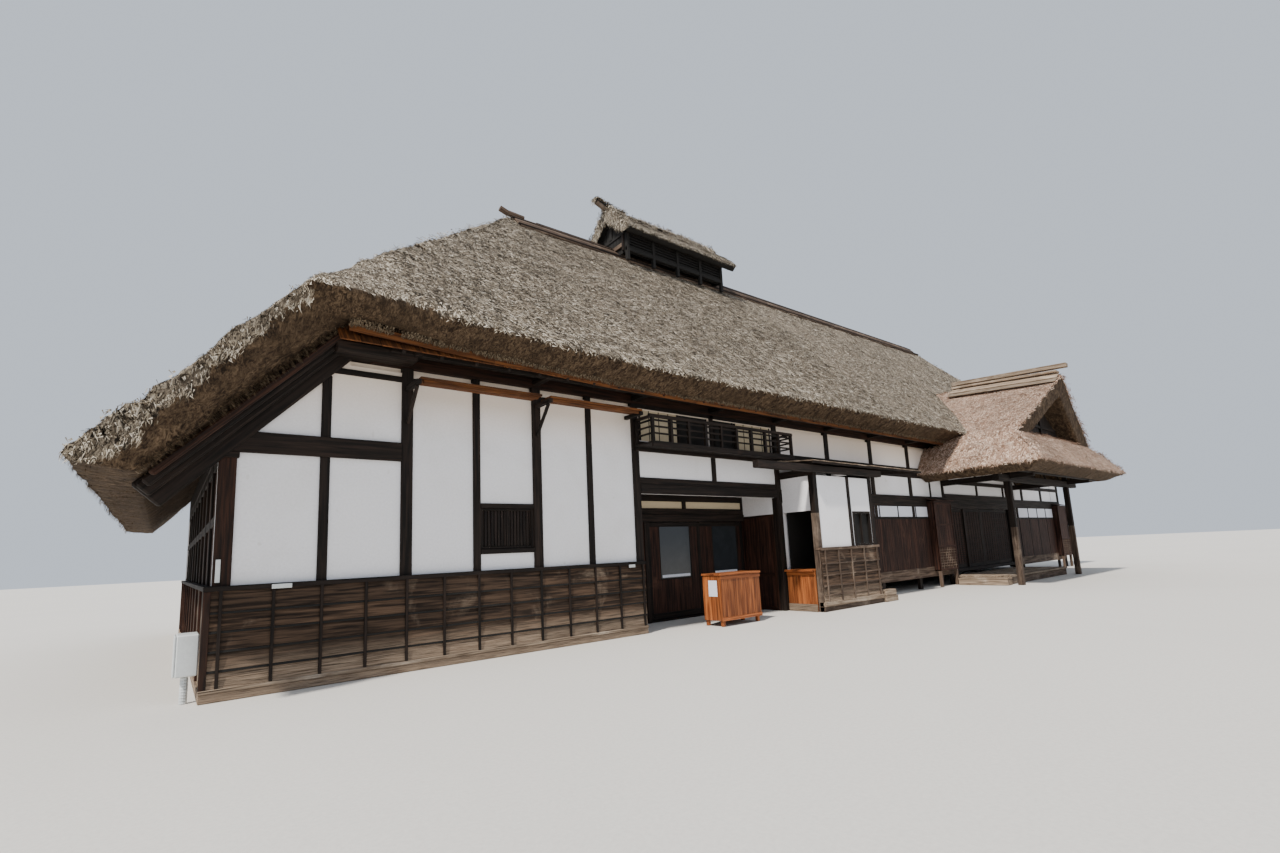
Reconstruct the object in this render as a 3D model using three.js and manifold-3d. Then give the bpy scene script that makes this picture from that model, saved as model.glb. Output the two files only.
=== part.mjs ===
// A long thatched farmhouse: timber frame, plaster panels, hipped thatch with a smoke vent and a porch.
// Millimetres, +X along the front, +Y into the house, +Z up, origin at the foot of the front left corner post.
import * as THREE from 'three';
import { mergeVertices } from 'three/addons/utils/BufferGeometryUtils.js';
import Module from 'manifold-3d';

const wasm = await Module();
wasm.setup();

// Plan
const BAY = 985;
const HOUSE_END = 28.5 * BAY;
const HOUSE_DEPTH = 10 * BAY;
const CORNER = 85;
const POST = 150;
const STUD = 110;
const GAP = 0.25;

// Wall build-up, measured inwards from the outer face of the posts
const PLASTER_FACE = 30;
const TIMBER_BACK = 85;
const WALL_BACK = 140;

// Heights of the front
const SILL_TOP = 130;
const WAINSCOT_TOP = 1212;
const NAGESHI_LOW = 2712;
const NAGESHI_TOP = 2962;
const PANEL_TOP = 3807;
const EAVE_BEAM_LOW = 4012;
const EAVE_BEAM_TOP = 4160;
const LINTEL_LOW = 2395;
const LINTEL_TOP = 2680;
const BALCONY_FLOOR = 3240;
const UPPER_PANEL_LOW = 3373;
const RAISED_FLOOR = 430;
const PLANK_LOW = 330;
const BOARDS_LOW = 520;
const BAND_LOW = 1950;
const BAND_TOP = 2285;
const BEAM_TOP = 2572;
const WHITE_TOP = 3090;
const DOOR_HEAD = 2240;

// Thatch
const EAVE_OUT = 1070;
const EAVE_Z = 4310;
const EAVE_LIP = 530;
const LIP_DROP = 210;
const RIDGE_Y = HOUSE_DEPTH / 2;
const RIDGE_LEFT_Z = 10150;
const RIDGE_RISE = 0.0155;
const RIDGE_START = 6000;
const RIDGE_END = 27000;
const ROOF_START = -1260;
const ROOF_END = 29600;
const TIP_Z = 2440;
const VERGE_X = 300;
const VERGE_Z = 4330;
const THATCH = 731;
const VERGE_BEAM = 485;
const PLATE_TOP = 4506;
const CORNER_LIFT = 200;
const LIFT_START = 950;
const LIFT_END = 6950;

// Underside of the left slope: eave lip, bend and head
const UNDER_LOW = [ROOF_START + 500, 2370];
const UNDER_BEND = [1148, 4380];
const UNDER_TOP = [RIDGE_START, RIDGE_LEFT_Z - THATCH];

// Openings that sliding doors close
const ENTRY_X0 = 6 * BAY;
const ENTRY_X1 = 10 * BAY;
const ENTRY_WALL_Y = 1000;
const ENTRY_DOOR_X0 = 6900;
const ENTRY_DOOR_X1 = 9780;
const ENTRY_DOOR_TOP = 1930;
const GRAND_X0 = 18 * BAY;
const GRAND_X1 = 23 * BAY;
const BAND_X0 = 23500;
const BAND_X1 = 27250;
const LEAF_THICK = 34;
const TRACK_PITCH = 42;
const RUN_GAP = 6;

// Porch
const PORCH_X = 20.5 * BAY;
const PORCH_HALF = 4000;
const PORCH_FRONT = -3120;
const PORCH_EAVE_Z = 3200;
const PORCH_LIP = 490;
const PORCH_LIP_Z = 2985;
const SKIRT_RUN = 750;
const SKIRT_Z = 4120;
const PORCH_RIDGE_Z = 6030;
const PORCH_RIDGE_Y = -2750;
const PORCH_RIDGE_RISE = 0.08;
const PORCH_BACK = 2600;
const GABLE_HALF = 2120;
const GABLE_BASE_Z = 4150;
const GABLE_BOARD_Y = -2000;
const ROOM_HALF = 3000;
const ROOM_Z = 3560;
const PORCH_PITCH = 0.594;
const PORCH_POST_LEFT = 18 * BAY;
const PORCH_POST_RIGHT = 23 * BAY;
const PORCH_POST_Y = -1780;
const PORCH_POST_WIDTH = 145;
const DECK_Y = -1510;
const DECK_Z = 246;

// Ticket booth
const BOOTH_X0 = 9900;
const BOOTH_X1 = 12150;
const BOOTH_Y = -850;
const BOOTH_WAINSCOT_TOP = 1245;
const COUNTER_Z = 850;
const TICKET_TOP = 2060;

// Free-standing desk in front of the entrance doors.
const DESK_X0 = 7180;
const DESK_X1 = 8220;
const DESK_Y0 = -640;
const DESK_Y1 = -180;
const DESK_TOP = 920;

// Smoke vent
const VENT_X0 = 9100;
const VENT_X1 = 13600;
const VENT_HALF = 1100;
const VENT_EAVE_Z = 10500;
const VENT_RIDGE_Z = 11500;
const VENT_THATCH = 330;
const VENT_BODY_HALF = 720;

const COLOURS = {
  plaster: [0xe9e6df, 0.9],
  timber: [0x2a1c14, 0.75],
  board: [0x4b3526, 0.85],
  thatch: [0x8b7b63, 1.0],
  pale: [0x9a8a72, 0.85],
  counter: [0xa8623a, 0.7],
  box: [0xc9ccca, 0.5],
  glass: [0x5a6268, 0.2],
};

const group = new THREE.Group();

function solidOf(geometry) {
  const plain = geometry.clone();
  plain.deleteAttribute('normal');
  plain.deleteAttribute('uv');
  const merged = mergeVertices(plain, 1e-4);
  const vertProperties = Float32Array.from(merged.attributes.position.array);
  const triVerts = Uint32Array.from(merged.index.array);
  return new wasm.Manifold(new wasm.Mesh({ numProp: 3, vertProperties, triVerts }));
}

function block(x0, x1, y0, y1, z0, z1) {
  const geometry = new THREE.BoxGeometry(x1 - x0, y1 - y0, z1 - z0);
  geometry.translate((x0 + x1) / 2, (y0 + y1) / 2, (z0 + z1) / 2);
  return solidOf(geometry);
}

function join(solids) {
  return solids.reduce((whole, solid) => whole.add(solid));
}

function cut(solid, tools) {
  return tools.reduce((rest, tool) => rest.subtract(tool), solid);
}

// An outline in X and Z, drawn out along Y.
function prismAlongY(points, y0, y1) {
  const shape = new THREE.Shape(points.map(([x, z]) => new THREE.Vector2(x, z)));
  const geometry = new THREE.ExtrudeGeometry(shape, { depth: y1 - y0, bevelEnabled: false });
  geometry.rotateX(Math.PI / 2);
  geometry.translate(0, y1, 0);
  return solidOf(geometry);
}

// An outline in Y and Z, drawn out along X.
function prismAlongX(points, x0, x1) {
  const shape = new THREE.Shape(points.map(([y, z]) => new THREE.Vector2(y, z)));
  const geometry = new THREE.ExtrudeGeometry(shape, { depth: x1 - x0, bevelEnabled: false });
  const axes = new THREE.Matrix4().makeBasis(
    new THREE.Vector3(0, 1, 0), new THREE.Vector3(0, 0, 1), new THREE.Vector3(1, 0, 0));
  geometry.applyMatrix4(axes);
  geometry.translate(x0, 0, 0);
  return solidOf(geometry);
}

// A closed skin through rings of points that all run the same way round.
function loft(rings) {
  const count = rings[0].length;
  const position = rings.flat(2);
  const index = [];
  for (let ring = 0; ring < rings.length - 1; ring += 1) {
    for (let i = 0; i < count; i += 1) {
      const a = ring * count + i;
      const b = ring * count + (i + 1) % count;
      index.push(a, b, a + count);
      index.push(b, b + count, a + count);
    }
  }
  const last = (rings.length - 1) * count;
  for (let i = 1; i < count - 1; i += 1) {
    index.push(0, i + 1, i);
    index.push(last, last + i, last + i + 1);
  }
  const geometry = new THREE.BufferGeometry();
  geometry.setAttribute('position', new THREE.Float32BufferAttribute(position, 3));
  geometry.setIndex(index);
  return new wasm.Manifold(new wasm.Mesh({
    numProp: 3,
    vertProperties: Float32Array.from(geometry.attributes.position.array),
    triVerts: Uint32Array.from(index),
  }));
}

function log(from, to, radius, sides = 10) {
  const start = new THREE.Vector3(...from);
  const end = new THREE.Vector3(...to);
  const geometry = new THREE.CylinderGeometry(radius, radius, start.distanceTo(end), sides);
  const along = end.clone().sub(start).normalize();
  geometry.applyQuaternion(new THREE.Quaternion().setFromUnitVectors(new THREE.Vector3(0, 1, 0), along));
  const middle = start.add(end).multiplyScalar(0.5);
  geometry.translate(middle.x, middle.y, middle.z);
  return solidOf(geometry);
}

function node(name, solid, look) {
  const mesh = solid.getMesh();
  const geometry = new THREE.BufferGeometry();
  geometry.setAttribute('position', new THREE.Float32BufferAttribute(mesh.vertProperties, 3));
  geometry.setIndex(Array.from(mesh.triVerts));
  const flat = geometry.toNonIndexed();
  flat.computeVertexNormals();
  const [color, roughness] = COLOURS[look];
  const material = new THREE.MeshStandardMaterial({ color, roughness, metalness: 0 });
  const part = new THREE.Mesh(flat, material);
  part.name = name;
  group.add(part);
}

// Walls are drawn in their own length, depth and height, then placed on one side of the house.
const SIDES = {
  front: (s0, s1, d0, d1, z0, z1) => block(s0, s1, d0, d1, z0, z1),
  back: (s0, s1, d0, d1, z0, z1) => block(s0, s1, HOUSE_DEPTH - d1, HOUSE_DEPTH - d0, z0, z1),
  left: (s0, s1, d0, d1, z0, z1) => block(d0 - CORNER, d1 - CORNER, s0, s1, z0, z1),
  right: (s0, s1, d0, d1, z0, z1) => block(
    HOUSE_END + CORNER - d1, HOUSE_END + CORNER - d0, s0, s1, z0, z1),
};

// Timbers are boxes of length and height; a lattice joins them.
function lattice(side, members, d0 = 0, d1 = TIMBER_BACK) {
  return join(members.map(([s0, s1, z0, z1]) => SIDES[side](s0, s1, d0, d1, z0, z1)));
}

// Plaster behind and between the timbers, with a continuous back coat and the openings cut through.
function plaster(side, extent, members, openings = []) {
  const [s0, s1, z0, z1] = extent;
  const slab = SIDES[side](s0, s1, PLASTER_FACE, WALL_BACK, z0, z1);
  const seats = members.map(([a, b, c, d]) => SIDES[side](
    a - GAP, b + GAP, -10, TIMBER_BACK + GAP, c - GAP, d + GAP));
  const holes = openings.map(([a, b, c, d]) => SIDES[side](a, b, -10, WALL_BACK + 10, c, d));
  return cut(slab, [...seats, ...holes]);
}

function uprights(places, width, z0, z1) {
  return places.map((s) => [s - width / 2, s + width / 2, z0, z1]);
}

// The underside of the left roof slope, which the left walls and the sloping beam follow.
function leftThatchUnder(x) {
  const [x0, z0, x1, z1] = x < UNDER_BEND[0] ? [...UNDER_LOW, ...UNDER_BEND] : [...UNDER_BEND, ...UNDER_TOP];
  return z0 + (x - x0) * (z1 - z0) / (x1 - x0);
}

// Main roof: four thick slopes that meet at the hips and the ridge, which rises a little to the right.
function ridgeZ(x) {
  return RIDGE_LEFT_Z + (x - RIDGE_START) * RIDGE_RISE;
}

function slopeAt(x) {
  return (ridgeZ(x) - EAVE_Z) / (RIDGE_Y + EAVE_OUT);
}

function thatchSlopeUnder(x) {
  return (ridgeZ(x) - THATCH - EAVE_Z + LIP_DROP) / (RIDGE_Y + EAVE_OUT - EAVE_LIP);
}

function eaveLift(x) {
  const fade = (LIFT_END - x) / (LIFT_END - LIFT_START);
  return CORNER_LIFT * Math.min(1, Math.max(0, fade)) ** 2;
}

function frontSlopeRing(x) {
  const lift = eaveLift(x);
  return [
    [x, -EAVE_OUT, EAVE_Z + lift],
    [x, EAVE_LIP - EAVE_OUT, EAVE_Z - LIP_DROP + lift],
    [x, RIDGE_Y, ridgeZ(x) - THATCH],
    [x, RIDGE_Y, ridgeZ(x)],
  ];
}

function trimBeside(solid, [ax, ay], [bx, by], keepX, keepY) {
  const normal = new THREE.Vector2(by - ay, ax - bx).normalize();
  const side = Math.sign(normal.x * (keepX - ax) + normal.y * (keepY - ay));
  normal.multiplyScalar(side);
  const offset = normal.x * ax + normal.y * ay + GAP / 2;
  return solid.trimByPlane([normal.x, normal.y, 0], offset);
}

const ROOF_STATIONS = [-1400, LIFT_START, 1600, 2600, 4000, 5500, LIFT_END, 9500, 12000, 14500,
  17000, 19500, 22000, 24500, RIDGE_END, ROOF_END + 400];
const HIP_LEFT_FOOT = [450, -EAVE_OUT];
const HIP_LEFT_HEAD = [RIDGE_START, RIDGE_Y];
const HIP_RIGHT_FOOT = [ROOF_END, -EAVE_OUT];
const HIP_RIGHT_HEAD = [RIDGE_END, RIDGE_Y];

function mirrorDepth(solid) {
  return solid.mirror([0, 1, 0]).translate([0, HOUSE_DEPTH, 0]);
}

function frontThatch() {
  let slope = loft(ROOF_STATIONS.map(frontSlopeRing));
  const middle = [(RIDGE_START + RIDGE_END) / 2, 0];
  slope = trimBeside(slope, HIP_LEFT_FOOT, HIP_LEFT_HEAD, ...middle);
  slope = trimBeside(slope, HIP_RIGHT_FOOT, HIP_RIGHT_HEAD, ...middle);
  return slope.trimByPlane([0, -1, 0], -(RIDGE_Y - GAP / 2));
}

function leftThatch() {
  const outline = [
    [ROOF_START, TIP_Z],
    UNDER_LOW,
    UNDER_BEND,
    UNDER_TOP,
    [RIDGE_START, RIDGE_LEFT_Z],
    [VERGE_X, VERGE_Z],
  ];
  let slope = prismAlongY(outline, -1100, HOUSE_DEPTH + 1100);
  const back = ([x, y]) => [x, HOUSE_DEPTH - y];
  slope = trimBeside(slope, HIP_LEFT_FOOT, HIP_LEFT_HEAD, -1000, RIDGE_Y);
  slope = trimBeside(slope, back(HIP_LEFT_FOOT), back(HIP_LEFT_HEAD), -1000, RIDGE_Y);
  const low = new THREE.Vector3(ROOF_START, -EAVE_OUT, TIP_Z);
  const high = new THREE.Vector3(VERGE_X, -EAVE_OUT, VERGE_Z);
  const inner = new THREE.Vector3(UNDER_LOW[0], EAVE_LIP - EAVE_OUT, UNDER_LOW[1]);
  const normal = high.sub(low).cross(inner.clone().sub(low)).normalize();
  normal.multiplyScalar(Math.sign(normal.y));
  slope = slope.trimByPlane(normal.toArray(), normal.dot(low));
  const mirrored = [normal.x, -normal.y, normal.z];
  const mirroredOffset = mirrored[0] * low.x + mirrored[1] * (HOUSE_DEPTH + EAVE_OUT) + mirrored[2] * low.z;
  return slope.trimByPlane(mirrored, mirroredOffset);
}

function rightThatch() {
  const outline = [
    [ROOF_END, EAVE_Z],
    [RIDGE_END, ridgeZ(RIDGE_END)],
    [RIDGE_END, ridgeZ(RIDGE_END) - THATCH],
    [ROOF_END - EAVE_LIP, EAVE_Z - LIP_DROP],
  ];
  let slope = prismAlongY(outline, -1100, HOUSE_DEPTH + 1100);
  const back = ([x, y]) => [x, HOUSE_DEPTH - y];
  slope = trimBeside(slope, HIP_RIGHT_FOOT, HIP_RIGHT_HEAD, ROOF_END, RIDGE_Y);
  return trimBeside(slope, back(HIP_RIGHT_FOOT), back(HIP_RIGHT_HEAD), ROOF_END, RIDGE_Y);
}

// A wedge under the outer skin of the main slopes, used to seat what stands on them.
function roofMass(clearance) {
  const foot = EAVE_Z - LIP_DROP;
  const half = loft(ROOF_STATIONS.filter((x) => x > 5000).map((x) => [
    [x, -EAVE_OUT, foot], [x, RIDGE_Y, foot],
    [x, RIDGE_Y, ridgeZ(x) + clearance], [x, -EAVE_OUT, EAVE_Z + eaveLift(x) + clearance],
  ]));
  return half.add(mirrorDepth(half));
}

function ridgeCap() {
  const reach = 500;
  const ring = (x) => {
    const drop = ridgeZ(x) - reach * slopeAt(x);
    return [
      [x, RIDGE_Y - reach, drop - 60], [x, RIDGE_Y + reach, drop - 60],
      [x, RIDGE_Y + reach, drop + 110], [x, RIDGE_Y + 160, ridgeZ(x) + 60],
      [x, RIDGE_Y - 160, ridgeZ(x) + 60], [x, RIDGE_Y - reach, drop + 110],
    ];
  };
  const cap = loft([RIDGE_START + 60, RIDGE_END - 60].map(ring)).subtract(roofMass(0.5));
  const leftLog = log([RIDGE_START - 250, RIDGE_Y, ridgeZ(RIDGE_START) + 95],
    [RIDGE_START + 900, RIDGE_Y, ridgeZ(RIDGE_START) + 95], 75);
  return cap.add(leftLog);
}

// Outer eave beam on arms and the wall plate that carries the thatch.
function eaveFrame() {
  const parts = [block(1620, HOUSE_END + CORNER, -430, -290, EAVE_BEAM_LOW, EAVE_BEAM_TOP)];
  for (let s = 2 * BAY; s <= 26 * BAY; s += 2 * BAY) {
    parts.push(block(s - 60, s + 60, -430, 60, EAVE_BEAM_LOW, EAVE_BEAM_TOP - 20));
  }
  parts.push(block(1500, HOUSE_END + CORNER, 0, WALL_BACK, EAVE_BEAM_LOW, PLATE_TOP));
  return join(parts);
}

// Rafters under the long slopes, tied by two purlins.
function rafters() {
  const depth = 150;
  const under = (x, y) => EAVE_Z - LIP_DROP + (y + EAVE_OUT - EAVE_LIP) * thatchSlopeUnder(x) - 12;
  const parts = [];
  const y1 = RIDGE_Y - 60;
  for (let i = 7; i <= 27; i += 2) {
    const x = i * BAY;
    parts.push(prismAlongX([
      [0, under(x, 0)], [0, under(x, 0) - depth], [y1, under(x, y1) - depth], [y1, under(x, y1)],
    ], x - 60, x + 60));
  }
  for (const y of [1800, 3500]) {
    parts.push(loft([7 * BAY, 27 * BAY].map((x) => [
      [x, y - 60, under(x, y) - depth - 60], [x, y + 60, under(x, y) - depth - 60],
      [x, y + 60, under(x, y) - depth + 40], [x, y - 60, under(x, y) - depth + 40],
    ])));
  }
  return join(parts).subtract(block(0, HOUSE_END, -1, WALL_BACK, EAVE_BEAM_LOW, PLATE_TOP));
}

// Left end: the wall under the low eave.
function leftEnd() {
  const s0 = WALL_BACK;
  const s1 = HOUSE_DEPTH - WALL_BACK;
  const posts = [];
  for (let i = 2; i <= 8; i += 2) posts.push(i * BAY + 75);
  const studs = [];
  for (let i = 1; i <= 9; i += 2) studs.push(i * BAY + 75);
  const members = [
    ...uprights(posts, POST, 0, NAGESHI_LOW),
    ...uprights(studs, STUD, 0, NAGESHI_LOW),
    [s0, s1, 0, SILL_TOP],
    [s0, s1, 1900, 2010],
    [s0, s1, NAGESHI_LOW - 120, NAGESHI_LOW + 20],
  ];
  const boards = SIDES.left(s0, s1, PLASTER_FACE, WALL_BACK, 0, NAGESHI_LOW + 20);
  const plateOuter = leftThatchUnder(-CORNER) - 0.5;
  const plateInner = leftThatchUnder(WALL_BACK - CORNER) - 0.5;
  const plate = prismAlongY([
    [-CORNER, NAGESHI_LOW + 20], [WALL_BACK - CORNER, NAGESHI_LOW + 20],
    [WALL_BACK - CORNER, plateInner], [-CORNER, plateOuter],
  ], s0, s1);
  node('left_wall', join([lattice('left', members), boards, plate]), 'board');
  const wainscotLeft = SIDES.left(0, HOUSE_DEPTH, -75, 0, 60, WAINSCOT_TOP);
  const wainscotFront = SIDES.front(-CORNER - 75, 6 * BAY + 60, -60, 0, SILL_TOP, WAINSCOT_TOP);
  node('wainscot', wainscotLeft.add(wainscotFront), 'board');
}

// Front, from the left corner to the entrance.
const WINDOW_BAY = [3030, 3860, 1510, 2100];

function frontWest() {
  const wallTop = EAVE_BEAM_LOW;
  const members = [
    [-CORNER, CORNER, 0, NAGESHI_TOP],
    ...uprights([2 * BAY, 4 * BAY, 6 * BAY], POST, 0, wallTop),
    ...uprights([BAY], STUD, 0, 3760),
    ...uprights([3 * BAY, 5 * BAY], STUD, 0, wallTop),
    [-CORNER, 6 * BAY, 0, SILL_TOP],
    [-CORNER, 2 * BAY, NAGESHI_LOW, NAGESHI_TOP],
    [BAY, 6 * BAY, PANEL_TOP, PANEL_TOP + 75],
    [1250, 6 * BAY, wallTop - 70, wallTop],
    [3 * BAY, 4 * BAY, 2100, 2170],
    [3 * BAY, 4 * BAY, 1440, 1510],
  ];
  const slopeLow = leftThatchUnder(-700);
  const slopeHigh = leftThatchUnder(900);
  const sloping = prismAlongY([
    [-700, slopeLow - VERGE_BEAM], [-700, slopeLow - 1], [900, slopeHigh - 1],
    [1240, leftThatchUnder(1240) - 60], [1240, leftThatchUnder(1240) - VERGE_BEAM],
  ], 0, TIMBER_BACK);
  node('front_frame_west', lattice('front', members).add(sloping), 'timber');
  const openings = [WINDOW_BAY];
  let wall = plaster('front', [-CORNER + GAP, 6 * BAY + 75, 0, wallTop], members, openings);
  wall = cut(wall, [
    prismAlongY([[-700, slopeLow - VERGE_BEAM - 0.4], [1240.3, leftThatchUnder(1240) - VERGE_BEAM - 0.4],
      [1240.3, 6000], [-700, 6000]], -10, TIMBER_BACK + GAP),
    prismAlongY([[-700, slopeLow - 20], [1800, leftThatchUnder(1800) - 20], [1800, 7000], [-700, 7000]],
      -20, WALL_BACK + 20),
  ]);
  node('front_wall_west', wall, 'plaster');
  node('window_shutter', SIDES.front(WINDOW_BAY[0], WINDOW_BAY[1], 35, 75,
    WINDOW_BAY[2] + 0.3, WINDOW_BAY[3] - 0.3), 'board');
}

function shelfBoards() {
  const z = 3745;
  const boards = [[1990, 3790], [3930, 5720]].map(([a, b]) => block(a, b, -470, -150, z, z + 35));
  const arms = [2 * BAY, 4 * BAY, 6 * BAY - 200].map((s) => block(s - 40, s + 40, -470, 0, z - 80, z + 1));
  const struts = [2 * BAY, 4 * BAY].map((s) => prismAlongX(
    [[0, z - 560], [0, z - 470], [-340, z - 70], [-430, z - 70]], s - 35, s + 35));
  const ledger = block(1990, 5780, -70, 0, z - 80, z);
  return join([...boards, ...arms, ...struts, ledger]);
}

// Front, over and inside the entrance.
function entrance() {
  const x0 = ENTRY_X0 + 75 + GAP;
  const x1 = ENTRY_X1 - 75 - GAP;
  const members = [
    [x0, x1, LINTEL_LOW, LINTEL_TOP],
    ...uprights([8 * BAY], STUD, LINTEL_TOP, EAVE_BEAM_LOW),
    [x0, x1, BALCONY_FLOOR, BALCONY_FLOOR + 90],
    [x0, x1, EAVE_BEAM_LOW - 70, EAVE_BEAM_LOW],
  ];
  node('entrance_head_frame', lattice('front', members), 'timber');
  const windows = [
    [x0 + 40, 8 * BAY - 75, BALCONY_FLOOR + 110, EAVE_BEAM_LOW - 90],
    [8 * BAY + 75, x1 - 40, BALCONY_FLOOR + 110, EAVE_BEAM_LOW - 90],
  ];
  node('entrance_head_wall', plaster('front', [x0, x1, LINTEL_LOW, EAVE_BEAM_LOW], members, windows),
    'plaster');
  const ceiling = 3180;
  const back = ENTRY_WALL_Y + 110;
  const sidePanel = block(x0 - 115, ENTRY_DOOR_X0, ENTRY_WALL_Y, back, 0, ENTRY_DOOR_TOP + 20);
  node('recess_walls', join([
    block(x0 - 115, x0, WALL_BACK, back, 0, ceiling),
    sidePanel,
    block(x1, x1 + 115, WALL_BACK, back, 0, ceiling),
    block(ENTRY_DOOR_X0 - 1, x1 + 1, ENTRY_WALL_Y - 10, ENTRY_WALL_Y + 130, 0, 40),
  ]), 'board');
  node('entrance_window_panes', SIDES.front(x0, x1, WALL_BACK, WALL_BACK + 12,
    BALCONY_FLOOR + 60, EAVE_BEAM_LOW - 10), 'glass');
  const head = block(x0, x1, ENTRY_WALL_Y, back, ENTRY_DOOR_TOP + 20, ceiling);
  const band = [[x0 + 800, 7900], [8000, x1 - 60]].map(([a, b]) => block(
    a, b, ENTRY_WALL_Y - 20, back + 20, 2225, 2370));
  node('recess_head_wall', cut(head, band), 'timber');
}

function slidingLeaf(x0, x1, y0, z0, z1) {
  const rail = 90;
  const frame = [
    block(x0, x0 + rail, y0, y0 + LEAF_THICK, z0 + RUN_GAP, z1),
    block(x1 - rail, x1, y0, y0 + LEAF_THICK, z0 + RUN_GAP, z1),
    block(x0, x1, y0, y0 + LEAF_THICK, z0 + RUN_GAP, z0 + RUN_GAP + rail),
    block(x0, x1, y0, y0 + LEAF_THICK, z1 - rail, z1),
    block(x0 + 40, x1 - 40, y0 + 11, y0 + 23, z0 + 60, z1 - 60),
  ];
  const shoes = [x0 + 60, x1 - 120].map((x) => block(
    x, x + 60, y0 + 8, y0 + 26, z0 + GAP, z0 + RUN_GAP + 20));
  return join([...frame, ...shoes]);
}

function entranceDoors() {
  const width = (ENTRY_DOOR_X1 - ENTRY_DOOR_X0) / 2;
  const y0 = ENTRY_WALL_Y + 12;
  const top = ENTRY_DOOR_TOP + 20 - RUN_GAP;
  node('entrance_door_left', slidingLeaf(ENTRY_DOOR_X0 + 6, ENTRY_DOOR_X0 + width + 30, y0, 40, top), 'board');
  node('entrance_door_right', slidingLeaf(
    ENTRY_DOOR_X0 + width - 30, ENTRY_DOOR_X1 - 12, y0 + TRACK_PITCH, 40, top), 'board');
}

function balcony() {
  const x0 = 5600;
  const x1 = 9800;
  const y0 = -560;
  const top = 3715;
  const parts = [
    block(x0, x1, y0, 0, BALCONY_FLOOR - 60, BALCONY_FLOOR),
    block(x0 + 200, x1 - 60, y0 + 30, y0 + 90, top - 55, top),
    block(x0 + 200, x1 - 60, y0 + 45, y0 + 80, 3440, 3480),
    block(x0 + 200, x1 - 60, y0 + 45, y0 + 80, 3560, 3600),
  ];
  for (let i = 0; i <= 5; i += 1) {
    const x = x0 + 200 + i * (x1 - x0 - 330) / 5;
    parts.push(block(x, x + 70, y0 + 25, y0 + 95, BALCONY_FLOOR - 1, top));
  }
  for (const x of [x0 + 200, x1 - 130]) {
    parts.push(block(x, x + 70, y0 + 60, 0, top - 55, top));
    parts.push(block(x + 15, x + 55, y0 + 60, 0, 3440, 3480));
  }
  for (const x of [ENTRY_X0 + 100, 8 * BAY, ENTRY_X1 - 380]) {
    parts.push(block(x - 40, x + 40, y0 + 30, 0, BALCONY_FLOOR - 160, BALCONY_FLOOR - 59));
  }
  return join(parts);
}

// Ticket booth with its pent roof.
function booth() {
  const post = 130;
  const top = 2790;
  const frame = join([
    block(BOOTH_X0, BOOTH_X0 + post, BOOTH_Y, BOOTH_Y + post, 0, top),
    block(BOOTH_X1 - post, BOOTH_X1, BOOTH_Y, BOOTH_Y + post, 0, top),
    block(11130, 11230, BOOTH_Y, BOOTH_Y + 60, BOOTH_WAINSCOT_TOP, top),
    block(BOOTH_X0, BOOTH_X1, BOOTH_Y, BOOTH_Y + 100, BOOTH_WAINSCOT_TOP - 60, BOOTH_WAINSCOT_TOP + 40),
    block(BOOTH_X0, BOOTH_X1, BOOTH_Y, BOOTH_Y + 100, 0, 90),
    block(8100, 12450, -960, BOOTH_Y + 30, top, top + 170),
    block(BOOTH_X0, BOOTH_X0 + post, BOOTH_Y, 0, top, top + 150),
    block(BOOTH_X1 - post, BOOTH_X1, BOOTH_Y, 0, top, top + 150),
    block(8150, 8260, -960, 0, top + 20, top + 150),
    block(BOOTH_X0 + 20, BOOTH_X1 - 5, BOOTH_Y - 40, BOOTH_Y, 80, BOOTH_WAINSCOT_TOP - 20),
  ]);
  node('booth_frame', frame, 'timber');
  const low = BOOTH_WAINSCOT_TOP + 40 + GAP;
  const inner = BOOTH_Y + post + GAP;
  const walls = join([
    block(BOOTH_X0 + post + GAP, BOOTH_X1 - post - GAP, BOOTH_Y + 20, inner, low, top),
    block(BOOTH_X0 + 30, BOOTH_X1 - 30, inner, inner + 60, low, top),
    block(BOOTH_X0 + 30, BOOTH_X0 + 100, inner, 0, TICKET_TOP, top),
    block(BOOTH_X1 - 100, BOOTH_X1 - 30, inner, 0, 0, top),
    block(BOOTH_X0 + post + GAP, BOOTH_X1 - 30, inner, inner + 60, 0, top),
  ]);
  node('booth_walls', cut(walls, [
    block(11129.75, 11230.25, BOOTH_Y - 1, BOOTH_Y + 60.25, 0, 4000),
    block(11300, 11950, BOOTH_Y - 10, BOOTH_Y + 400, 1330, 1990),
    block(BOOTH_X0 - 10, BOOTH_X0 + post + 60, inner - 10, 10, COUNTER_Z - 300, TICKET_TOP),
  ]), 'plaster');
  const counter = join([
    block(BOOTH_X0 - 120, BOOTH_X0 + 260, inner + 60, -20, COUNTER_Z - 40, COUNTER_Z),
    block(BOOTH_X0 - 30, BOOTH_X0 + 30, BOOTH_Y + post, -20, 0, COUNTER_Z - 39),
  ]);
  node('booth_counter', counter, 'counter');
  const roof = prismAlongX([[-1080, 3010], [-1060, 3065], [0, 3178], [0, 3100], [-960, 3000]],
    9630, 14200);
  node('pent_roof', cut(roof, [block(9000, 15000, -970, 10, 2000, top + 170)]), 'thatch');
}

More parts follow.
